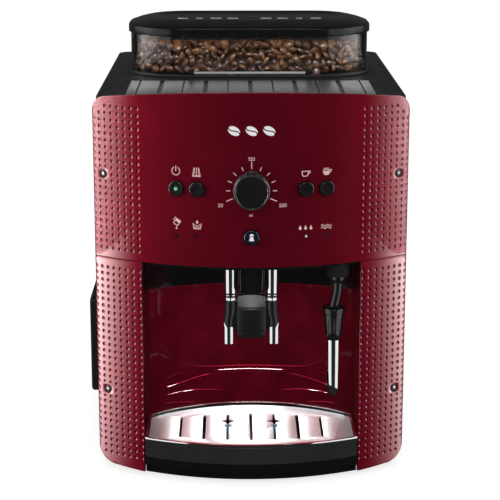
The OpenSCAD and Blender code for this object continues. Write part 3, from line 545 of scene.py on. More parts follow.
def dimples(skin, side, rows, screw):
    """Columns of dimples on one wing, and the recess of its screw; the dimples beside the screw are smaller."""
    for k in range(COLUMNS):
        s = side * (COLUMN_S + COLUMN_STEP * k)
        for z in rows:
            from_screw = abs(z - screw) if k in SCREW_COLUMNS else math.inf
            if (from_screw < 0.1 or z + REACH > min(skin.high(s + REACH), skin.high(s - REACH))
                    or z - REACH < max(skin.low(s + REACH), skin.low(s - REACH))):
                continue
            if abs(from_screw - ROW_STEP) < 0.1:
                small = [(r * 0.88, d) for r, d in DIMPLE]
                move = math.copysign(LINE_Z / 2, z - screw)
                skin.tile(s, z + move, 2 * LINE_S, 1.5 * LINE_Z, small, DIMPLE_DEPTH)
            else:
                skin.tile(s, z, 2 * LINE_S, 2 * LINE_Z, DIMPLE, DIMPLE_DEPTH)
    recess = [(SCREW_R + 0.75, 0.0), (SCREW_R + 0.5, 0.1), (SCREW_R + 0.4, 0.35), (SCREW_R + 0.4, 1.7)]
    skin.tile(side * (COLUMN_S + COLUMN_STEP * 5.5), screw, 4 * LINE_S, 3 * LINE_Z, recess, 1.7)


def edge_in(edge, way):
    """The edge of the flat skin, one lip inside the outline."""
    def f(s):
        slope = (edge(s + 0.3) - edge(s - 0.3)) / 0.6
        return edge(s) + way * LIP * math.hypot(1, max(-5, min(5, slope)))
    return f


def shell_object(name, shape):
    """The shell as an object, its flat sides satin."""
    side_x = front(S_SIDE + 3, 0)[0] - 0.02
    for k, face in enumerate(shape.f):
        if all(abs(shape.v[c][0]) >= side_x for c in face):
            shape.m[k] = 2
    return to_object(name, shape, [RED, RED_PIT_SHADED, RED_SIDE], orient=False)


UPPER_SCREW, LOWER_SCREW = 242.9, 68.0
shape = Shape()
centre_lines = [first - LINE_S * k for k in range(1, 59)] + [0.0]
skin = Skin(shape, symmetrical(outer_lines + centre_lines), [SEAM_Z + LINE_Z * k for k in range(104)],
            lambda s: SPLIT_Z + 0.3 + LIP, edge_in(top_edge, -1))
for side in (-1, 1):
    dimples(skin, side, [SEAM_Z + ROW_STEP * (k + 0.5) for k in range(23)], UPPER_SCREW)
hole = lambda r: [(r + 0.35, 0.0), (r + 0.1, 0.08), (r, 0.3), (r, WALL)]
for x, z in [(x, CONTROL_Z) for x in BUTTONS.values()] + [(0.0, LOWER_Z)]:
    skin.tile(along(x), z, BUTTON_TILE, BUTTON_TILE, hole(BUTTON_R + PLAY))
for x in LIGHTS_X:
    skin.tile(along(x), LOWER_Z, LIGHT_TILE, LIGHT_TILE, hole(1.7))
skin.fill()
skin.back(skin.rim(True), skin.rim(False))
settle(shell_object("front_panel_skin", shape), "front_panel")

# lower wings: dimpled face, then the wall beside the cup bay
BAY_X, BAY_BACK_Y, BAY_R, BAY_CORNER = 84.6, 55.8, 126.5, 9.0
BAY_CX = BAY_X - BAY_CORNER
BAY_A = math.asin(BAY_CX / (BAY_R - BAY_CORNER))
BAY_CY = BAY_BACK_Y - BAY_R
BAY_CORNER_Y = BAY_CY + (BAY_R - BAY_CORNER) * cos(BAY_A)
EDGE_R, LEDGE_Z = 0.6, (7.4, 9.2)
WING_S = along(BAY_X + EDGE_R)
wing_y = front(WING_S, 0)[1]
bay_side = [(BAY_X + EDGE_R * (1 - sin(t)), wing_y + EDGE_R * (1 - cos(t))) for t in map(rad, (25, 50, 75, 90))]
bay_side += [(BAY_X, -15), (BAY_X, 0), (BAY_X, BAY_CORNER_Y - 0.3), (BAY_X + WALL, BAY_CORNER_Y - 0.3),
             (BAY_X + WALL, wing_y + 4)]
shape = Shape()
for side in (-1, 1):
    # the first column's tiles start at the wing's edge
    lines = sorted([side * WING_S] + [side * v for v in outer_lines if v > first + 0.1])
    skin = Skin(shape, lines, [SEAM_Z - LINE_Z * k for k in range(134, -1, -1)],
                edge_in(bottom_edge, 1), lambda s: SPLIT_Z - LIP)
    dimples(skin, side, [SEAM_Z - ROW_STEP * (k + 0.5) for k in range(31)], LOWER_SCREW)
    skin.fill()
    skin.back(skin.rim(True), skin.rim(False))
    last = [skin.node(0 if side > 0 else len(lines) - 1, j) for j in range(len(skin.z))]
    zs = [shape.v[c][2] for c in last]
    for x, y in bay_side:
        shape.v += [(side * x, y, z) for z in zs]
        ring = list(range(len(shape.v) - len(zs), len(shape.v)))
        for j in range(len(zs) - 1):
            q = (last[j], last[j + 1], ring[j + 1], ring[j])
            if zs[j + 1] - zs[j] > 1e-4:
                skin.face(*(q if side > 0 else q[::-1]))
        last = ring
shape.slab(oblong(-BAY_X - 1, -8, BAY_X + 1, 20), *LEDGE_Z, 0.3)
settle(shell_object("front_housing_skin", shape), "front_housing")

# ---------------------------------------------------------------- cup bay
def bay_point(u, z, d=0.0):
    """A point of the bay's back wall at arc length u from its middle, raised d into the bay."""
    t, side = abs(u), (1 if u >= 0 else -1)
    back = BAY_R * BAY_A
    if t <= back:
        a = t / BAY_R
        x, y = (BAY_R - d) * sin(a), BAY_CY + (BAY_R - d) * cos(a)
    else:
        a = BAY_A + (t - back) / BAY_CORNER
        x, y = BAY_CX + (BAY_CORNER - d) * sin(a), BAY_CORNER_Y + (BAY_CORNER - d) * cos(a)
    return (side * x, y, z)


CREASE_H, CREASE_W = 0.33, 0.45


def ease(t):
    t = min(1.0, max(0.0, t))
    return t * t * (3 - 2 * t)


def wall_relief(x, z):
    """The pressed creases low on the bay's wall: each is a height and how strongly it stands out at x."""
    x, out = abs(x), 0.0
    inner = 1.0 if x < 69 else 0.0
    lines = [(67 + 23 * (x / 72) ** 5.5, 1.0),
             (64.0, 1.3 - 1.3 * ease((x - 26) / 6)),
             (61 - 6.2 * ease((x - 30) / 42), (0.35 + 0.9 * ease((x - 32) / 4)) * inner),
             (48.6 - 2.8 * ease((48 - x) / 28) - 0.6 * ease((x - 56) / 14), 1.1 * ease((x - 18) / 14) * inner),
             (38.0 + 2.5 * ease((x - 46) / 22), 1.1 * ease((x - 44) / 5) if x < 70 else 0.0),
             (62.0 + 0.33 * (69 - x), 1.1 * ease((x - 58) / 3) if x < 70 else 0.0)]
    for z0, strength in lines:
        out += CREASE_H * strength * math.exp(-((z - z0) / CREASE_W) ** 2)
    return out


shape = Shape()
u_end = BAY_R * BAY_A + BAY_CORNER * (pi / 2 - BAY_A)
us = [u_end * (2 * i / 132 - 1) for i in range(133)]
zs = [9.5, 20, 28] + [34 + 0.3 * k for k in range(207)] + [100, 110, 120, 130, 136.8]
rings = [[bay_point(u, z, 0.1 + wall_relief(bay_point(u, 0)[0], z)) for u in us] for z in zs]
lift = lambda u: 0.9 + 2.7 * (bay_point(u, 0)[0] / BAY_X) ** 2      # the top edge rises towards both sides
rings += [[bay_point(u, z + lift(u), d) for u in us] for z, d in ((137.5, 0.3), (137.8, 0.25), (137.9, 0.1))]
rings += [[bay_point(u, z, d) for u in us] for z, d in ((137.6, -0.4), (137.6, -2.2), (9.5, -2.2))]
shape.rings(rings, closed=False, caps=(False, False))
settle(to_object("bay_liner_skin", shape, [RED_WALL], orient=False, smooth=40), "bay_liner")

# ---------------------------------------------------------------- casing, edges rounded
for node, width in {"left_side_panel": 1.0, "right_side_panel": 1.0, "rear_panel": 1.2, "top_deck": 0.9,
                    "base_pan": 0.6, "rubber_feet": 1.2, "drawer_front": 2.4, "grounds_drawer": 0.6,
                    "hopper_collar": 0.5, "tank_lid": 0.9, "water_tank": 1.0, "cord_gland": 0.8,
                    "wand_socket": 1.0, "bay_ceiling": 0.3, "hopper": 0.5, "lid_seal": 0.3,
                    "grind_adjuster": 0.7, "thermoblock": 0.6, "brew_chamber": 0.5, "grinder_housing": 0.8,
                    "inner_frame": 0.4, "base_screws": 0.4}.items():
    refine(node, width, FINISH[SLOT[node]], 2 if width < 0.7 else 3)

# ---------------------------------------------------------------- tray and grid
def bay_outline(side, back, ahead, n_wall=48, n_front=40):
    """Plan of the bay's floor: its back curve, closed by the front arc."""
    x_max, r = BAY_X - side, FRONT_R - ahead
    wall = [bay_point(u_end * (1 - 2 * i / n_wall), 0, back) for i in range(n_wall + 1)]
    a = math.asin(x_max / r)
    turn = [a * (1 - 2 * i / n_front) for i in range(n_front + 1)]
    return ([(max(-x_max, min(x_max, x)), y) for x, y, z in wall]
            + [(-r * sin(t), ARC_Y - r * cos(t)) for t in turn])


def offset_rings(outline, steps):
    """Rings of an outline, moved inwards and set at a height: steps is (inset, z)."""
    return [level(inset(outline, d) if d else outline, z) for d, z in steps]


tray = Shape()
plan = bay_outline(0.5, 0.6, 0.0)
quarter = [pi / 2 * k / 4 for k in range(5)]
steps = [(4.5, 3.2), (4.0, 3.6), (3.4, 8.6), (1.0, 9.6), (0.5, 10.4), (0.3, 11.6), (0.3, 16.4), (0.35, 16.8),
         (0.3, 17.2), (0.0, 17.7)]
steps += [(1.2 * (1 - cos(t)), GRID_Z - 2.8 + 1.2 * sin(t)) for t in quarter]
steps += [(2.4 - 0.4 * sin(t), GRID_Z - 2.0 + 0.4 * cos(t)) for t in quarter] + [(2.5, 13.2), (3.6, 12.0)]
# below SKIRT_Z only the front face leans in
SKIRT_Z = 10
low = [[(x, y + d * ease((-4 - y) / 24), z) for x, y in inset(plan, 0.3)] for d, z in steps if z < SKIRT_Z]
tray_rings = low + offset_rings(plan, steps[len(low):])
tray.rings(tray_rings[:9], 1, caps=(True, False))
tray.rings(tray_rings[8:], caps=(False, True))
settle(to_object("drip_tray_shell", tray, [TRAY, TRAY_LOW], smooth=50), "drip_tray")

plate = Shape()
plate.slab(bay_outline(3.2, 3.3, 2.2), GRID_Z - 1.4, GRID_Z + 0.02, 0.25)
grid = to_object("drip_grid_plate", plate, [BRUSHED])
cutters = []


def cutter(outline, z0, z1):
    block = Shape()
    block.rings([level(outline, z) for z in (z0, z1)])
    cutters.append(to_object("cutter", block, []))


PITCH, FLOAT_Y, STAR_Y, STAR_R, STAR_WAIST = 18.9, 2.0, 13.0, 6.2, 3.7
for i in range(-3, 4):
    w, shorter = 2.5 if abs(i) == 2 else 1.9, 8 if abs(i) == 3 else abs(i) * 1.5
    y0, y1 = -31 + shorter, 30 - shorter
    cutter(rounded(w, y1 - y0, w / 2 - 0.01, 5, i * PITCH, (y1 + y0) / 2), GRID_Z - 4, GRID_Z + 4)
for x in (-PITCH, PITCH):
    for a, b in ((STAR_R, STAR_WAIST), (STAR_WAIST, STAR_R)):       # a four-pointed star, from two diamonds
        cutter([(x + a, STAR_Y), (x, STAR_Y + b), (x - a, STAR_Y), (x, STAR_Y - b)],
               GRID_Z - 4.1, GRID_Z + 4.1 + a / 100)
    cutter(arc(x, FLOAT_Y, 2.7, 0, 345, 23), GRID_Z - 4, GRID_Z + 4)
carve(grid, cutters)
round_edges(grid, 0.3, 2)
profile = [(0.1, GRID_Z - 1.4), (0.0, GRID_Z - 1.0), (0.0, GRID_Z + 1.7)]
profile += [(0.9 * (1 - cos(t)), GRID_Z + 1.5 + 0.9 * sin(t)) for t in quarter]
profile += [(1.7 - 0.4 * (1 - sin(t)), GRID_Z + 1.9 + 0.5 * cos(t)) for t in quarter]
profile += [(1.8, GRID_Z + 0.6), (1.8, GRID_Z - 0.9), (3.6, GRID_Z - 0.9), (3.6, GRID_Z - 1.4)]


def curb_height(y, z):
    """The raised edge runs round the back and ends, and sinks to the plate's level at the front."""
    return z if z <= GRID_Z else GRID_Z + (z - GRID_Z) * ease((y + 26) / 6)


curb = Shape()
rings = [[(x, y, curb_height(y, z)) for x, y, z in ring] for ring in offset_rings(plan, profile)]
curb.rings(rings + [rings[0]], caps=(False, False))
attach(to_object("drip_grid_rim", curb, [CHROME], smooth=40), "drip_grid")
settle(grid, "drip_grid")

# ---------------------------------------------------------------- controls
for node, x in list(BUTTONS.items()) + [("service_button", 0.0)]:
    at, cap = on_front(x, LOWER_Z if node == "service_button" else CONTROL_Z), Shape()
    r = BUTTON_R
    profile = [(2, -9), (2, -5), (r + 1, -5), (r + 1, -3.1), (r, -3.0), (r, 0.9)]
    profile += [(r - 0.7 * (1 - cos(t)), 1.0 + 0.7 * sin(t)) for t in quarter]
    cap.lathe(profile + [(r - 1.2, 1.62), (r - 2.6, 1.35), (1.6, 1.1), (0.01, 1.05)], at)
    mats = [NAVY if node == "service_button" else GLOSS]
    if node == "power_button":
        cap.lathe([(1.5, 1.0), (1.5, 1.2), (1.2, 1.32), (0.01, 1.35)], at, 1, 20)
        mats.append(GREEN)
    settle(to_object(node + "_cap", cap, mats), node)

lights = Shape()
for x in LIGHTS_X:
    at = on_front(x, LOWER_Z)
    lights.lathe([(1.6, -13.9), (1.6, -0.3), (1.5, -0.1), (0.9, 0.1)], at, 0, 20, (True, False))
    lights.lathe([(0.9, 0.1), (0.5, 0.2), (0.01, 0.22)], at, 1 if x == LIGHTS_X[2] else 0, 20, (False, True))
settle(to_object("indicator_lenses", lights, [LENS, LENS_WHITE]), "indicator_lights")

at, dial = on_front(0, CONTROL_Z), Shape()
R_DIAL = 14.0
profile = [(3.2, 0.7), (R_DIAL - 0.5, 0.6), (R_DIAL, 1.2), (R_DIAL, 3.4), (R_DIAL - 0.5, 4.2),
           (R_DIAL - 0.9, 4.8), (R_DIAL - 0.6, 8.6)]
profile += [(R_DIAL - 0.6 - 0.7 * (1 - cos(t)), 9.1 + 0.9 * sin(t)) for t in quarter]
dial.lathe(profile + [(12.3, 9.9), (12.0, 9.7)], at, 0, 96, (True, False))
dial.lathe([(12.0, 9.7), (11.8, 9.4), (11.4, 9.25), (10.6, 9.22), (5.0, 9.2), (0.01, 9.2)], at, 1, 96,
           (False, True))
pointer = [(-6.0, R_DIAL - 2.2), (6.0, R_DIAL - 2.2), (3.4, R_DIAL + 0.9), (1.2, R_DIAL + 1.5),
           (-1.2, R_DIAL + 1.5), (-3.4, R_DIAL + 0.9)]
dial.slab(pointer, 0.7, 5.6, 0.9, 0, at)
settle(to_object("dial_cap", dial, [BLACK_DIAL, GLOSS]), "dial_knob")

# ---------------------------------------------------------------- screws
screws = Shape()
for x in (-SCREW_X, SCREW_X):
    for z in (LOWER_SCREW, UPPER_SCREW):
        at = on_front(x, z)
        screws.lathe([(1.8, -12), (1.8, -1.6), (SCREW_R, -1.6), (SCREW_R, -0.35), (SCREW_R - 0.5, 0.05),
                      (2.0, 0.3), (1.55, 0.3)], at, 0, 36, (True, False))
        screws.lathe([(0.01, -0.5), (0.85, -0.5), (1.5, -0.5), (1.55, 0.3)], at, 0, 6, (False, False))
        screws.lathe([(1.25, -0.6), (1.25, 0.1), (0.9, 0.35), (0.01, 0.45)], at, 1, 20)
settle(to_object("front_screw_heads", screws, [DARK_STEEL, ALU]), "front_screws")

# ---------------------------------------------------------------- coffee outlet
TUBE_X, SPOUT_X, TUBE_Y, NOZZLE_Z = 16.2, 17.6, -22.0, 110.6
tubes = Shape()
for x in (-TUBE_X, TUBE_X):
    tubes.lathe([(3.5, 184), (4.8, 184), (4.8, 152.2), (4.6, 151.6), (3.5, 151.6)],
                Matrix.Translation((x, TUBE_Y, 0)), 0, 48, (False, False))
settle(to_object("guide_tube_pair", tubes, [CHROME]), "guide_tubes")
ACROSS = [1 - 2 * k / 16 for k in range(17)]


def pillar_plan(w):
    """The column's plan, w to each side, its front rounded."""
    return ([(w * u, TUBE_Y - 9 + 7 * abs(u) ** 2.2) for u in ACROSS]
            + [(-w, TUBE_Y + 8), (1 - w, TUBE_Y + 9), (w - 1, TUBE_Y + 9), (w, TUBE_Y + 8)])


column = Shape()
column.rings([level(pillar_plan(w), z) for w, z in ((10.3, 152.6), (10.8, 152.8), (11.0, 153.3),
                                                    (11.0, SPLIT_Z + 8))])
column.slab(oblong(-26, TUBE_Y - 9, 26, TUBE_Y + 14), SPLIT_Z + 0.3, SPLIT_Z + 8, 0.6)
settle(to_object("spout_pillar", column, [GLOSS], smooth=40), "spout_column")

slider = Shape()
# height, share of the full width, and how far the front bulges
levels = [(118.4, 0.90, -1.6), (118.9, 0.94, -0.9), (120.5, 0.97, -0.4), (123.9, 0.985, -0.15),
          (124.3, 0.965, -0.5), (124.8, 0.985, 0.0), (134, 1.0, 0.2), (140.5, 1.0, 0.1), (142.2, 1.0, -0.3),
          (143.4, 0.99, -1.4), (145.6, 0.97, -4.6), (148.2, 0.95, -8.6), (149.8, 0.92, -11.0),
          (150.5, 0.88, -12.2)]
rings = []
for z, wide, bulge in levels:
    half = 11.2 * wide
    ring = [(half * u, TUBE_Y - 14 - bulge + (half * u / 12) ** 2 * 2.2) for u in ACROSS]
    ring += [(-half, TUBE_Y - 2), (-half * 0.98, TUBE_Y + 7.4), (-half * 0.9, TUBE_Y + 8.2),
             (half * 0.9, TUBE_Y + 8.2), (half * 0.98, TUBE_Y + 7.4), (half, TUBE_Y - 2)]
    rings.append(level(ring, z))
slider.rings(rings)


def fluted(r, flute, z):
    """A ring with six flutes."""
    radii = [(2 * pi * k / 48, r - flute * (0.5 + 0.5 * cos(6 * 2 * pi * k / 48))) for k in range(48)]
    return [(out * cos(a), out * sin(a), z) for a, out in radii]


def pointed(r, drop, side):
    """A ring of the nozzle's top edge, drawn up to a point at the outer side."""
    ring = []
    for k in range(48):
        a = 2 * pi * k / 48
        lift = 5.2 * max(0.0, cos(a - (0.15 if side > 0 else pi - 0.15))) ** 2.2
        out = r * (1 - 0.012 * lift)
        ring.append((out * cos(a), out * sin(a), 124.6 + lift - drop))
    return ring


nozzles = Shape()
for side in (-1, 1):
    x0, x1 = side * TUBE_X, side * SPOUT_X
    slider.tube([(x0, TUBE_Y, 146.0), (x0, TUBE_Y, 141), (x0 + side * 0.3, TUBE_Y, 136), (x1, TUBE_Y, 130),
                 (x1, TUBE_Y, 122.5)], [4.1, 4.4, 4.2, 3.9, 3.68], 32)
    slider.lathe([(3.1, 145), (3.1, 196)], Matrix.Translation((x0, TUBE_Y, 0)), 0, 24)
    left, right = sorted((side * 10, side * 15))
    slider.slab(oblong(left, TUBE_Y - 3.0, right, TUBE_Y + 3.0), 122.0, 146.5, 1.0)
    collar = ((150.6, 4.75, 0.0), (149.9, 4.75, 0.0), (149.2, 4.45, 0.15), (147.6, 4.25, 0.35),
              (146.2, 4.2, 0.5), (144.9, 4.0, 0.6), (144.6, 3.6, 0.5))
    nozzles.rings([fluted(r, flute, z) for z, r, flute in collar], at=Matrix.Translation((x0, TUBE_Y, 0)))
    rings = [circle(r, z, 48) for r, z in ((2.6, 121.0), (2.6, 110.9), (2.9, NOZZLE_Z), (4.0, NOZZLE_Z),
                                           (4.3, 111.0), (4.3, 111.5), (4.3, 124.0))]
    rings += [pointed(r, drop, side) for drop, r in ((0.5, 4.28), (0.0, 4.1), (0.0, 3.72))]
    nozzles.rings(rings, at=Matrix.Translation((x1, TUBE_Y, 0)), caps=(False, False))
settle(to_object("slider_body", slider, [SLIDER], smooth=38), "spout_slider")
settle(to_object("nozzle_pair", nozzles, [CHROME], smooth=30), "spout_nozzles")

# ---------------------------------------------------------------- steam wand
WX, WY, WZ = 64.5, -18.0, 163.0
arm = Shape()
arm.tube([(WX + 3, WY, WZ + 1.5), (WX + 3, WY, WZ - 4), (WX + 2.9, WY, WZ - 9), (WX + 2.3, WY, WZ - 14),
          (WX + 1.2, WY, WZ - 19), (WX + 0.3, WY, WZ - 23), (WX, WY, WZ - 27), (WX, WY, WZ - 30.5)],
         [3.9, 4.0, 3.9, 3.9, 3.9, 3.9, 3.85, 3.8], 32)
at = Matrix.Translation((WX + 3, WY, WZ))
arm.lathe([(6 * sin(t), -6 * cos(t)) for t in [0.02 + (pi - 0.04) * k / 16 for k in range(17)]], at)
ring_at = Matrix.Translation((WX + 2.0, WY, WZ - 15)) @ Matrix.Rotation(rad(12), 4, "Y")
arm.lathe([(3.9, -0.5), (4.15, -0.35), (4.15, 0.35), (3.9, 0.5)], ring_at, 0, 32, (False, False))
arm.lathe([(2.15, 87), (2.15, 133)], Matrix.Translation((WX, WY, 0)), 0, 20)
settle(to_object("wand_tube", arm, [GLOSS], smooth=45), "wand_arm")

grip = Shape()
at = Matrix.Translation((WX, WY, 0))
profile = [(2.2, 112.9), (5.0, 112.9), (5.4, 113.3), (6.2, 115.6), (6.85, 118.6), (7.3, 122), (7.7, 127),
           (8.0, 131.8), (8.0, 132.5), (7.75, 132.9), (7.75, 133.4), (8.3, 133.7)]
profile += [(8.9 - 0.5 * (1 - sin(t)), 134.4 - 0.5 * cos(t) + 0.3) for t in quarter]
profile += [(8.95, 137.6)] + [(8.95 - 0.6 * (1 - cos(t)), 138.1 + 0.8 * sin(t)) for t in quarter]
profile += [(7.3, 138.8), (6.8, 138.3), (6.4, 136.0), (6.2, 133.6), (2.2, 133.4)]
grip.lathe(profile, at, 0, 64, (False, False))
for k in range(3):                                  # finger ribs on the grip
    a = rad(-90 + (k - 1) * 34)
    rib = ((117.5, 6.3), (120, 6.85), (124, 7.2), (128, 7.5), (131, 7.7))
    grip.tube([(WX + r * cos(a), WY + r * sin(a), z) for z, r in rib], [0.3, 0.5, 0.6, 0.5, 0.3], 10)
settle(to_object("wand_handle", grip, [GLOSS], smooth=40), "wand_grip")

sleeve = Shape()
SLANT = 2.6                                         # the lower end is cut at a slant
ends = [(3.2, 79.0, 0.0), (3.2, 71.9, SLANT), (4.9, 71.6, SLANT), (5.25, 71.8, SLANT), (5.35, 72.2, SLANT),
        (5.35, 112.0, 0.0), (5.2, 112.5, 0.0), (3.2, 112.5, 0.0)]
turn = [2 * pi * k / 64 for k in range(64)]
sleeve.rings([[(r * cos(a), r * sin(a), z + cut * (1 - cos(a))) for a in turn] for r, z, cut in ends], at=at,
             caps=(False, False))
settle(to_object("wand_tube_sleeve", sleeve, [CHROME]), "wand_sleeve")
tip = Shape()
tip.lathe([(1.2, 80), (1.2, 66.9), (1.5, 66.6), (2.8, 66.6), (3.1, 66.9), (3.6, 68.6), (4.4, 71.4),
           (4.45, 78.5), (3.1, 78.7), (3.1, 85)], at, 0, 40, (False, False))
settle(to_object("wand_nozzle", tip, [RUBBER]), "wand_tip")

# ---------------------------------------------------------------- cup deck
HOPPER_W, HOPPER_D, HOPPER_Y, DECK_Z = 201.0, 112.0, 158.0, 302.0
RIB, DECK_END, WIDE_GAP, GAP = 17.85, 97.1, 1.6, 0.45
strips = Shape()
edges = [-DECK_END] + [i * RIB for i in range(-5, 6)] + [DECK_END]
# every other gap between the ribs is wide, and there is none at the ends
gaps = [0] + [WIDE_GAP if i % 2 == 0 else GAP for i in range(-5, 6)] + [0]
for k in range(len(edges) - 1):
    x0, x1 = edges[k] + gaps[k], edges[k + 1] - gaps[k + 1]
    near = [(x, surface_y(x) + 12.6) for x in [x0 + (x1 - x0) * i / 6 for i in range(7)]]
    strips.slab(near + [(x1, 83.4), (x0, 83.4)], DECK_Z - 2.4, DECK_Z + 0.38, 0.45)
# the ribs stand on one plate, near-black: painted shadow seen through the gaps between them
under = [(x, surface_y(x) + 12.8) for x in [-96.8 + 193.6 * k / 30 for k in range(31)]]
strips.slab(under + [(96.8, 83.2), (-96.8, 83.2)], DECK_Z - 2.6, DECK_Z - 1.2, 0.1, 1)
settle(to_object("cup_deck", strips, [DECK, SHADOW]), "cup_grid")

# ---------------------------------------------------------------- beans
rng = random.Random(11)


def bean_mesh(n_long=7, n_round=10):
    """Half-egg with a furrow along its flat side, about 1 x 0.7 x 0.5."""
    verts, faces = [(0.5, 0, 0)], []
    for i in range(1, n_long):
        t = pi * i / n_long
        for k in range(n_round):
            a = 2 * pi * k / n_round
            y, z = 0.36 * sin(t) * cos(a), 0.3 * sin(t) * sin(a)
            if z < 0:
                z *= 0.45
                z += 0.075 * sin(t) * math.exp(-(y / 0.055) ** 2)
            verts.append((0.5 * cos(t), y, z))
    verts.append((-0.5, 0, 0))
    last, base = len(verts) - 1, 1 + (n_long - 2) * n_round
    for k in range(n_round):
        faces.append((0, 1 + k, 1 + (k + 1) % n_round))
        faces.append((last, base + (k + 1) % n_round, base + k))
        for i in range(n_long - 2):
            a, b = 1 + i * n_round, 1 + (i + 1) * n_round
            faces.append((a + k, b + k, b + (k + 1) % n_round, a + (k + 1) % n_round))
    return verts, faces


BEAN_V, BEAN_F = bean_mesh()
beans = Shape()
BEAN_Z0, BEAN_Z1, BEAN_STEP = 306.4, 330.0, 6.8


def put_bean(x, y, z, lean):
    """One bean at a random turn; lean is how far it may tip."""
    size = rng.uniform(8.6, 10.6)
    turn = Matrix.Rotation(rng.uniform(0, 2 * pi), 4, "Z")
    for axis in "XY":
        turn = turn @ Matrix.Rotation(rng.gauss(0, lean), 4, axis)
    if rng.random() < 0.5:
        turn = turn @ Matrix.Rotation(pi, 4, "X")
    roast = min(2, int(rng.random() ** 1.5 * 3))
    beans.add(BEAN_V, BEAN_F, roast, Matrix.Translation((x, y, z)) @ turn @ Matrix.Scale(size, 4))


fill = rounded(HOPPER_W - 13, HOPPER_D - 13, 40, 8, 0, HOPPER_Y)
for layer in range(5):                               # the beans seen through the hopper's wall
    z, travel = BEAN_Z0 + 2.6 + layer * 4.7, rng.random() * 6
    for a, b in zip(fill, fill[1:] + fill[:1]):
        a, b = Vector(a), Vector(b)
        while travel < (b - a).length:
            p = a.lerp(b, travel / (b - a).length)
            put_bean(p.x, p.y, z + rng.uniform(-1.4, 1.4), 1.1)
            travel += 6.6 * rng.uniform(0.85, 1.15)
        travel -= (b - a).length
for i in range(27):                                  # and those on top
    for j in range(15):
        x = -88 + i * BEAN_STEP + rng.uniform(-1.6, 1.6)
        y = HOPPER_Y - 48 + j * BEAN_STEP + rng.uniform(-1.6, 1.6)
        cx, cy = max(abs(x) - 52, 0), max(abs(y - HOPPER_Y) - 8, 0)
        if math.hypot(cx, cy) < 40 and math.hypot(x - 62, y - HOPPER_Y) > 16:
            put_bean(x, y, BEAN_Z1 - 2.2 + rng.uniform(-2.2, 1.2), 0.5)
beans.rings([level(inset(fill, 3.0), z) for z in (BEAN_Z0 + 0.6, BEAN_Z1 - 4.5)])
settle(to_object("bean_fill", beans, BEANS, orient=False, smooth=70), "coffee_beans")

# ---------------------------------------------------------------- hopper lid
LID_Z, FACET_X = machine_box("hopper_lid")[0].z, 48.5
lid = Shape()
steps = [(0.5, 0.1), (0.15, 0.3), (0.0, 0.8), (0.0, 5.6), (0.12, 6.1), (0.5, 6.5), (0.75, 6.6), (0.9, 6.9),
         (1.5, 7.3), (8.0, 9.6), (15.0, 11.3), (17.0, 11.7), (19.0, 11.85), (25.0, 11.9), (25.6, 11.7),
         (25.9, 11.2), (26.6, 10.9)]
lid.rings(offset_rings(rounded(HOPPER_W + 3.6, HOPPER_D + 3.6, 47.8, 14, 0, HOPPER_Y),
                       [(d, LID_Z + h) for d, h in steps]))
facet_y = HOPPER_Y - HOPPER_D / 2 - 3.2              # a flat facet in the middle of the lid's front
facet = [(-FACET_X, facet_y), (FACET_X, facet_y), (47.0, HOPPER_Y - 50), (-47.0, HOPPER_Y - 50)]
lid.slab(facet, LID_Z + 0.3, LID_Z + 6.6, 0.7)
for i in (-4, -3, -2, -1, 1, 2, 3, 4):                # short aluminium bars along the lid's recessed top
    rib = rounded(9 if i % 3 else 5, 1.8, 0.8, 4, i * 14, HOPPER_Y - 22)
    lid.slab(rib, LID_Z + 10.5, LID_Z + 11.75, 0.2, 1)
settle(to_object("lid_shell", lid, [LID, ALU], smooth=40), "hopper_lid")

window = Shape()                                     # pale strip between two latches, low on the hopper
window.slab(rounded(93, 1.0, 0.4, 3, 0, HOPPER_Y - 56.7), DECK_Z + 3.3, DECK_Z + 5.2, 0.3)
for x in (-FACET_X, FACET_X):
    window.slab(rounded(5.0, 1.6, 0.6, 3, x, HOPPER_Y - 56.6), DECK_Z + 2.8, DECK_Z + 7.4, 0.5, 1)
attach(to_object("hopper_strip", window, [LENS_WHITE, BLACK]), "hopper_collar")

# ---------------------------------------------------------------- printed marks
class Ink:
    """Thin marks on the front, drawn in millimetres round a point of it."""

    def __init__(self):
        self.shape, self.centre, self.turn, self.place = Shape(), (0, 0), 0.0, None

    def at(self, x, z, turn=0.0):
        self.centre, self.turn = (along(x), z), rad(turn)
        return self

    def fill(self, pts):
        """A closed outline, counterclockwise."""
        c, t = self.centre, self.turn
        flat = [(u * cos(t) - v * sin(t), u * sin(t) + v * cos(t)) for u, v in pts]
        if self.place:
            self.shape.rings([level(flat, h) for h in (1.0, 1.5)], at=self.place)
        else:
            self.shape.rings([[front(c[0] + u, c[1] + v, d) for u, v in flat] for d in (0.03, -0.05)])
        return self

    def line(self, pts, w=0.6, closed=False):
        pts = [Vector(q) for q in pts]
        for a, b in zip(pts, pts[1:] + (pts[:1] if closed else [])):
            d = (b - a).normalized() * w / 2
            n = Vector((-d.y, d.x))
            self.fill([a - d * 0.9 - n * 0.9, b + d * 0.9 - n * 0.9, b + d, b + d * 0.9 + n * 0.9,
                       a - d * 0.9 + n * 0.9, a - d])
        return self

    def circle(self, x, y, r, w=None, a0=0, a1=360, n=20):
        pts = arc(x, y, r, a0, a1, n)
        if w is None:
            return self.fill(pts[:-1])
        return self.line(pts, w)


DIGITS = {"0": [[(0, 0.25), (0, 0.75), (0.12, 0.95), (0.3, 1), (0.48, 0.95), (0.6, 0.75), (0.6, 0.25),
                 (0.48, 0.05), (0.3, 0), (0.12, 0.05), (0, 0.25)]],
          "1": [[(0.12, 0.8), (0.36, 1), (0.36, 0)]],
          "2": [[(0, 0.75), (0.1, 0.95), (0.3, 1), (0.5, 0.95), (0.6, 0.75), (0.5, 0.5), (0, 0), (0.62, 0)]],
          "m": [[(0, 0), (0, 0.62)], [(0, 0.5), (0.2, 0.62), (0.34, 0.5), (0.34, 0)],
                [(0.34, 0.5), (0.54, 0.62), (0.68, 0.5), (0.68, 0)]],
          "l": [[(0.2, 0), (0.2, 1)]]}


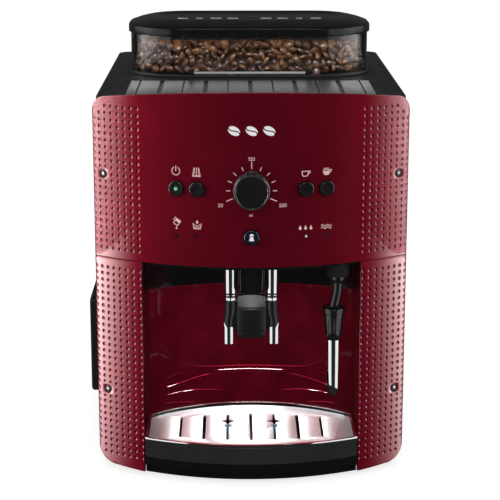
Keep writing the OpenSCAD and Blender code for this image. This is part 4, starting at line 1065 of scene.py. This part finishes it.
def number(ink, text, x, z, h, w):
    """Text of height h round (x, z)."""
    widths = [{"m": 0.95, "l": 0.4, "1": 0.66}.get(c, 0.86) for c in text]
    left = -sum(widths) * h / 2
    for c, width in zip(text, widths):
        for stroke in DIGITS[c]:
            ink.at(x, z).line([(left + u * h, (v - 0.5) * h) for u, v in stroke], w)
        left += width * h


ink = Ink()
for k in range(-5, 6):                               # dial scale
    a = rad(90 - 22.8 * k)
    near, far = (16.8, 21.6) if k == 0 else (15.9, 20.6) if abs(k) == 5 else (16.4, 18.9)
    ink.at(0, CONTROL_Z).line([(r * cos(a), r * sin(a)) for r in (near, far)], 0.75)
for text, x, z in (("20", -23.2, 225.3), ("120", 0, 261.0), ("220", 23.9, 225.3)):
    number(ink, text, x, z, 2.3, 0.42)
number(ink, "ml", -0.3, 218.0, 1.8, 0.4)
# power and steam
ink.at(-57.2, 250.5).circle(0, 0, 3.1, 0.75, 125, 415, 22).line([(0, 0.2), (0, 3.6)], 0.75)
ink.at(-41.6, 250.2).fill([(-3.4, -3.4), (3.4, -3.4), (2.9, -2.3), (-2.9, -2.3)])
for u in (-1.7, 0, 1.7):
    ink.line([(u * 1.15, -1.7), (u - 0.25, -0.4), (u + 0.3, 0.9), (u * 0.85, 2.2), (u * 0.8 + 0.2, 3.2)], 0.62)
ink.line([(-2.9, -2.3), (-1.9, 3.2)], 0.5).line([(2.9, -2.3), (1.9, 3.2)], 0.5)
# one cup, and two cups with the coffee drawn in
for x, z, full in ((41.0, 249.0, False), (57.3, 249.4, True)):
    ink.at(x, z).line([(-3.1, 1.8), (-2.9, -0.6), (-2.0, -1.9), (0.6, -1.9), (1.6, -0.6), (1.9, 1.8)], 0.75)
    ink.line([(-3.1, 1.8), (1.9, 1.8)], 0.6).line([(1.8, 1.3), (3.1, 1.9), (3.3, 0.8), (1.7, -0.3)], 0.6)
    if full:
        ink.fill([(-2.7, 0.9), (-2.4, -0.7), (-1.7, -1.6), (0.4, -1.6), (1.3, -0.4), (1.5, 0.9)])
        ink.line([(-2.4, 2.9), (0.9, 2.9)], 0.6)
# water and grounds
ink.at(-57.0, 210.4, -35).line([(-1.9, -1.6), (-1.9, 2.9), (1.9, 2.9), (1.9, -1.6)], 0.7, True)
ink.fill(oblong(-1.6, 0.9, 1.6, 2.7)).line([(-3.2, 3.2), (-3.2, 0.4)], 0.6)
ink.at(-56.8, 206.2).circle(-0.3, -0.1, 0.7).fill([(-0.8, 0.3), (0.2, 0.3), (-0.3, 1.5)])
ink.at(-41.3, 209.2).line([(-3.2, 1.2), (-2.4, -2.7), (2.4, -2.7), (3.2, 1.2)], 0.7)
ink.line([(-2.0, 0.6), (-1.2, -0.7), (0, -0.1), (1.2, -0.7), (2.0, 0.6)], 0.55)
ink.line([(-1.9, -1.7), (1.9, -1.7)], 0.5)
ink.circle(0, 2.2, 0.95).fill([(-0.85, 2.6), (0.85, 2.6), (0, 4.1)])
for u in (-4.2, 0, 4.2):                             # clean: three drops
    ink.at(41.0, 207.4).circle(u, -0.7, 1.1).fill([(u - 1.0, -0.3), (u + 1.0, -0.3), (u, 1.9)])
for v in (-0.9, 0.9):                                # descale: two waves
    ink.at(57.0, 207.2).line([(-4 + 8 * k / 12, v + 0.6 * sin(2 * pi * k / 6)) for k in range(13)], 0.65)
attach(to_object("panel_print", ink.shape, [INK], smooth=20), "front_panel")

ink = Ink()                                          # emblem: three coffee beans
EMBLEM_Z, TILT = 282.2, rad(-28)
for u in (-13.2, 0.0, 13.2):
    for way in (-1, 1):                              # the two halves of a bean, a seam between them
        half = [(4.9 * cos(pi * k / 14), way * (3.3 * sin(pi * k / 14))) for k in range(1, 14)]
        seam = [(4.3 * cos(pi * k / 10), 0.8 * sin(2 * pi * k / 10) + way * 0.45) for k in range(1, 10)]
        pts = [(x * cos(TILT) - y * sin(TILT) + u, x * sin(TILT) + y * cos(TILT)) for x, y in half + seam[::-1]]
        ink.at(0, EMBLEM_Z).fill(pts if way > 0 else pts[::-1])
attach(to_object("emblem", ink.shape, [PALE_INK], smooth=20), "front_panel")

ink = Ink()                                          # brush sign on the service button
ink.place = on_front(0, LOWER_Z)
ink.fill([(-1.0, 0.9), (-1.9, -2.4), (1.9, -2.4), (1.0, 0.9)]).fill(arc(0, 1.5, 1.7, 0, 180, 10))
attach(to_object("service_print", ink.shape, [PALE_INK], smooth=20), "service_button")

# ---------------------------------------------------------------- light and floor
def fading_light(name, strength, soft, power, color):
    """Light that rises along u, then falls, and fades at both edges along v."""
    mat, tree = blank_material(name)
    uv = add_node(tree, "UVMap")
    along_u, along_v, _ = add_node(tree, "SeparateXYZ", {"Vector": uv.outputs["UV"]}).outputs

    def calc(operation, a, b):
        return add_node(tree, "Math", {0: a, 1: b}, operation=operation).outputs[0]

    def fade(value, edge):
        return add_node(tree, "MapRange", {"Value": value, "From Max": edge}).outputs["Result"]

    total = calc("MULTIPLY", calc("POWER", fade(along_u, soft[0]), power), strength)
    for part in (fade(calc("SUBTRACT", 1.0, along_u), soft[1]), fade(along_v, soft[2]),
                 fade(calc("SUBTRACT", 1.0, along_v), soft[2])):
        total = calc("MULTIPLY", total, part)
    light = add_node(tree, "Emission", {"Strength": total, "Color": (*color, 1)})
    add_node(tree, "OutputMaterial", {0: light.outputs[0]})
    return mat


def only(lamp, kind, names):
    """Limits what a lamp lights or is shaded by to these pieces."""
    group = bpy.data.collections.new(lamp.name + kind)
    for piece in names:
        group.objects.link(bpy.data.objects[piece])
    setattr(lamp.light_linking, kind, group)


def emitter(name, centre, size_u, size_v, u, v, strength, soft=(0.3, 0.3, 0.3), power=1.0, lit=(),
            color=(1, 1, 1)):
    """A soft panel that the camera doesn't see; lit names the only pieces it lights."""
    mesh = bpy.data.meshes.new(name)
    c, u, v = Vector(centre), Vector(u) * size_u / 2, Vector(v) * size_v / 2
    mesh.from_pydata([c - u - v, c + u - v, c + u + v, c - u + v], [], [(0, 1, 2, 3)])
    uv = mesh.uv_layers.new(name="UVMap")
    for k, corner in enumerate(oblong(0, 0, 1, 1)):
        uv.data[k].uv = corner
    mesh.materials.append(fading_light(name, strength, soft, power, color))
    obj = link(name, mesh)
    obj.visible_camera = False
    obj.visible_shadow = False
    if lit:
        only(obj, "receiver_collection", lit)
    return obj


SHELL = ["front_panel_skin", "front_housing_skin", "front_screw_heads", "dial_cap", "service_button_cap"]
SHELL += [node + "_cap" for node in BUTTONS]
PINK, AX, AY, AZ = (1.0, 0.88, 0.89), (1, 0, 0), (0, 1, 0), (0, 0, 1)
emitter("softbox_left", (-1.6, -0.65, 0.55), 1.2, 2.6, AY, AZ, 38.0, (0.78, 0.05, 0.35), 2.8, SHELL, PINK)
emitter("softbox_right", (1.6, -0.65, 0.55), 1.2, 2.6, AY, AZ, 27.0, (0.8, 0.05, 0.35), 3.6, SHELL, PINK)
for end, side in (("l", -1), ("r", 1)):
    emitter("softbox_side_" + end, (side * 1.6, 0.0, 0.7), 2.2, 1.8, AY, AZ, 1.4)
box = emitter("softbox_edge", (0.0, 0.1, 1.8), 1.6, 1.2, AX, AY, 9.0, lit=["front_panel_skin"], color=PINK)
box.visible_diffuse = False
emitter("softbox_top", (0.0, 0.1, 1.9), 1.4, 1.4, AX, AY, 3.0)
emitter("softbox_front", (0.0, -2.2, 1.5), 1.6, 0.35, AX, (0, 0.6, 0.8), 11.0)


def area(name, place, aim, size, power, lit, blockers):
    """A lamp that lights only these pieces, shaded only by the blockers."""
    data = bpy.data.lights.new(name, "AREA")
    data.energy, data.shape = power, "RECTANGLE"
    data.size, data.size_y = size
    lamp = link(name, data)
    lamp.location = place
    lamp.rotation_euler = (Vector(aim) - lamp.location).to_track_quat("-Z", "Y").to_euler()
    only(lamp, "receiver_collection", lit)
    only(lamp, "blocker_collection", blockers)
    return lamp


BRIGHT = ["guide_tube_pair", "nozzle_pair", "wand_tube_sleeve", "drip_grid_rim", "hopper_looks", "lid_shell",
          "hopper_collar_looks", "wand_tube", "wand_handle", "slider_body"]
PLATE, BEAN_FILL, OUTLET, DECK_RIBS, LINER = (
    [name] for name in ("drip_grid_plate", "bean_fill", "slider_body", "cup_deck", "bay_liner_skin"))
on_grid, on_deck = row((0, 0, 33)), row((0, 60, 302))
area("grid_lamp", (0.0, -0.9, 0.75), on_grid, (0.6, 0.6), 0.25, PLATE, PLATE + ["slider_body", "nozzle_pair"])
area("grid_glow", (0.0, 0.30, 0.16), on_grid, (0.05, 0.06), 0.55, PLATE, PLATE)
for end, side, power in (("l", -1, 0.005), ("r", 1, 0.06)):
    area("grid_end_" + end, (side * 0.2, 0.28, 0.15), row((side * 78, -4, 33)), (0.08, 0.08), power, PLATE,
         PLATE)
    area("strip_" + end, (side * 1.15, -0.6, 0.05), (0, 0, 0.1), (1.55, 1.7), 8, BRIGHT, ["drip_grid_rim"])
area("bean_lamp", (0.0, -0.7, 1.1), row((0, 158, 320)), (0.5, 0.5), 14, BEAN_FILL, BEAN_FILL)
area("deck_lamp", (0.0, 0.5, 1.3), on_deck, (0.9, 0.6), 7, DECK_RIBS, DECK_RIBS + ["hopper_looks"])
area("deck_glow", (0.0, 1.5, 0.52), on_deck, (0.8, 0.3), 0.8, DECK_RIBS, DECK_RIBS)
area("outlet_lamp", (0.0, 0.1, 1.2), row((0, -30, 147)), (0.6, 0.2), 30, OUTLET, OUTLET)
lamp = area("liner_lamp", (0.0, -1.0, 1.0), row((0, 50, 60)), (3.2, 0.3), 320, LINER, LINER)
lamp.visible_diffuse = False

# a white world for the camera, grey for diffuse light, and nearly black in mirrors
world = bpy.data.worlds.new("studio")
bpy.context.scene.world = world
world.use_nodes = True
tree = world.node_tree
tree.nodes.clear()
MIRRORED_LOW, MIRRORED_HIGH, DIFFUSE, SEEN = 0.02, 0.06, 0.45, 1.0


def background(strength):
    return add_node(tree, "Background", {"Color": (1, 1, 1, 1), "Strength": strength}).outputs[0]


def pick(fac, a, b):
    return add_node(tree, "MixShader", {0: fac, 1: a, 2: b}).outputs[0]


ray = add_node(tree, "LightPath")
split = add_node(tree, "SeparateXYZ", {0: add_node(tree, "TexCoord").outputs["Generated"]})
rise = add_node(tree, "MapRange", {"Value": split.outputs["Y"], "From Min": 0.2, "From Max": 0.9},
                interpolation_type="SMOOTHSTEP")
mirrored = pick(rise.outputs["Result"], background(MIRRORED_LOW), background(MIRRORED_HIGH))
sky = pick(ray.outputs["Is Glossy Ray"], background(DIFFUSE), mirrored)
add_node(tree, "OutputWorld", {0: pick(ray.outputs["Is Camera Ray"], sky, background(SEEN))})

# the floor glows a little, so that it's as white as the world beyond it
floor_mesh = bpy.data.meshes.new("floor")
floor_mesh.from_pydata(level(oblong(-4, -4, 4, 4), 0), [], [(0, 1, 2, 3)])
floor = link("floor", floor_mesh)
mat, tree = blank_material("floor")
matt = add_node(tree, "BsdfDiffuse", {"Color": (0.5, 0.5, 0.5, 1)})
glow = add_node(tree, "Emission", {"Strength": 0.78})
both = add_node(tree, "AddShader", {0: matt.outputs[0], 1: glow.outputs[0]})
add_node(tree, "OutputMaterial", {0: both.outputs[0]})
floor_mesh.materials.append(mat)
floor.visible_glossy = False
bpy.data.objects["drip_grid_plate"].visible_glossy = False
bpy.context.scene.view_settings.view_transform = "Standard"
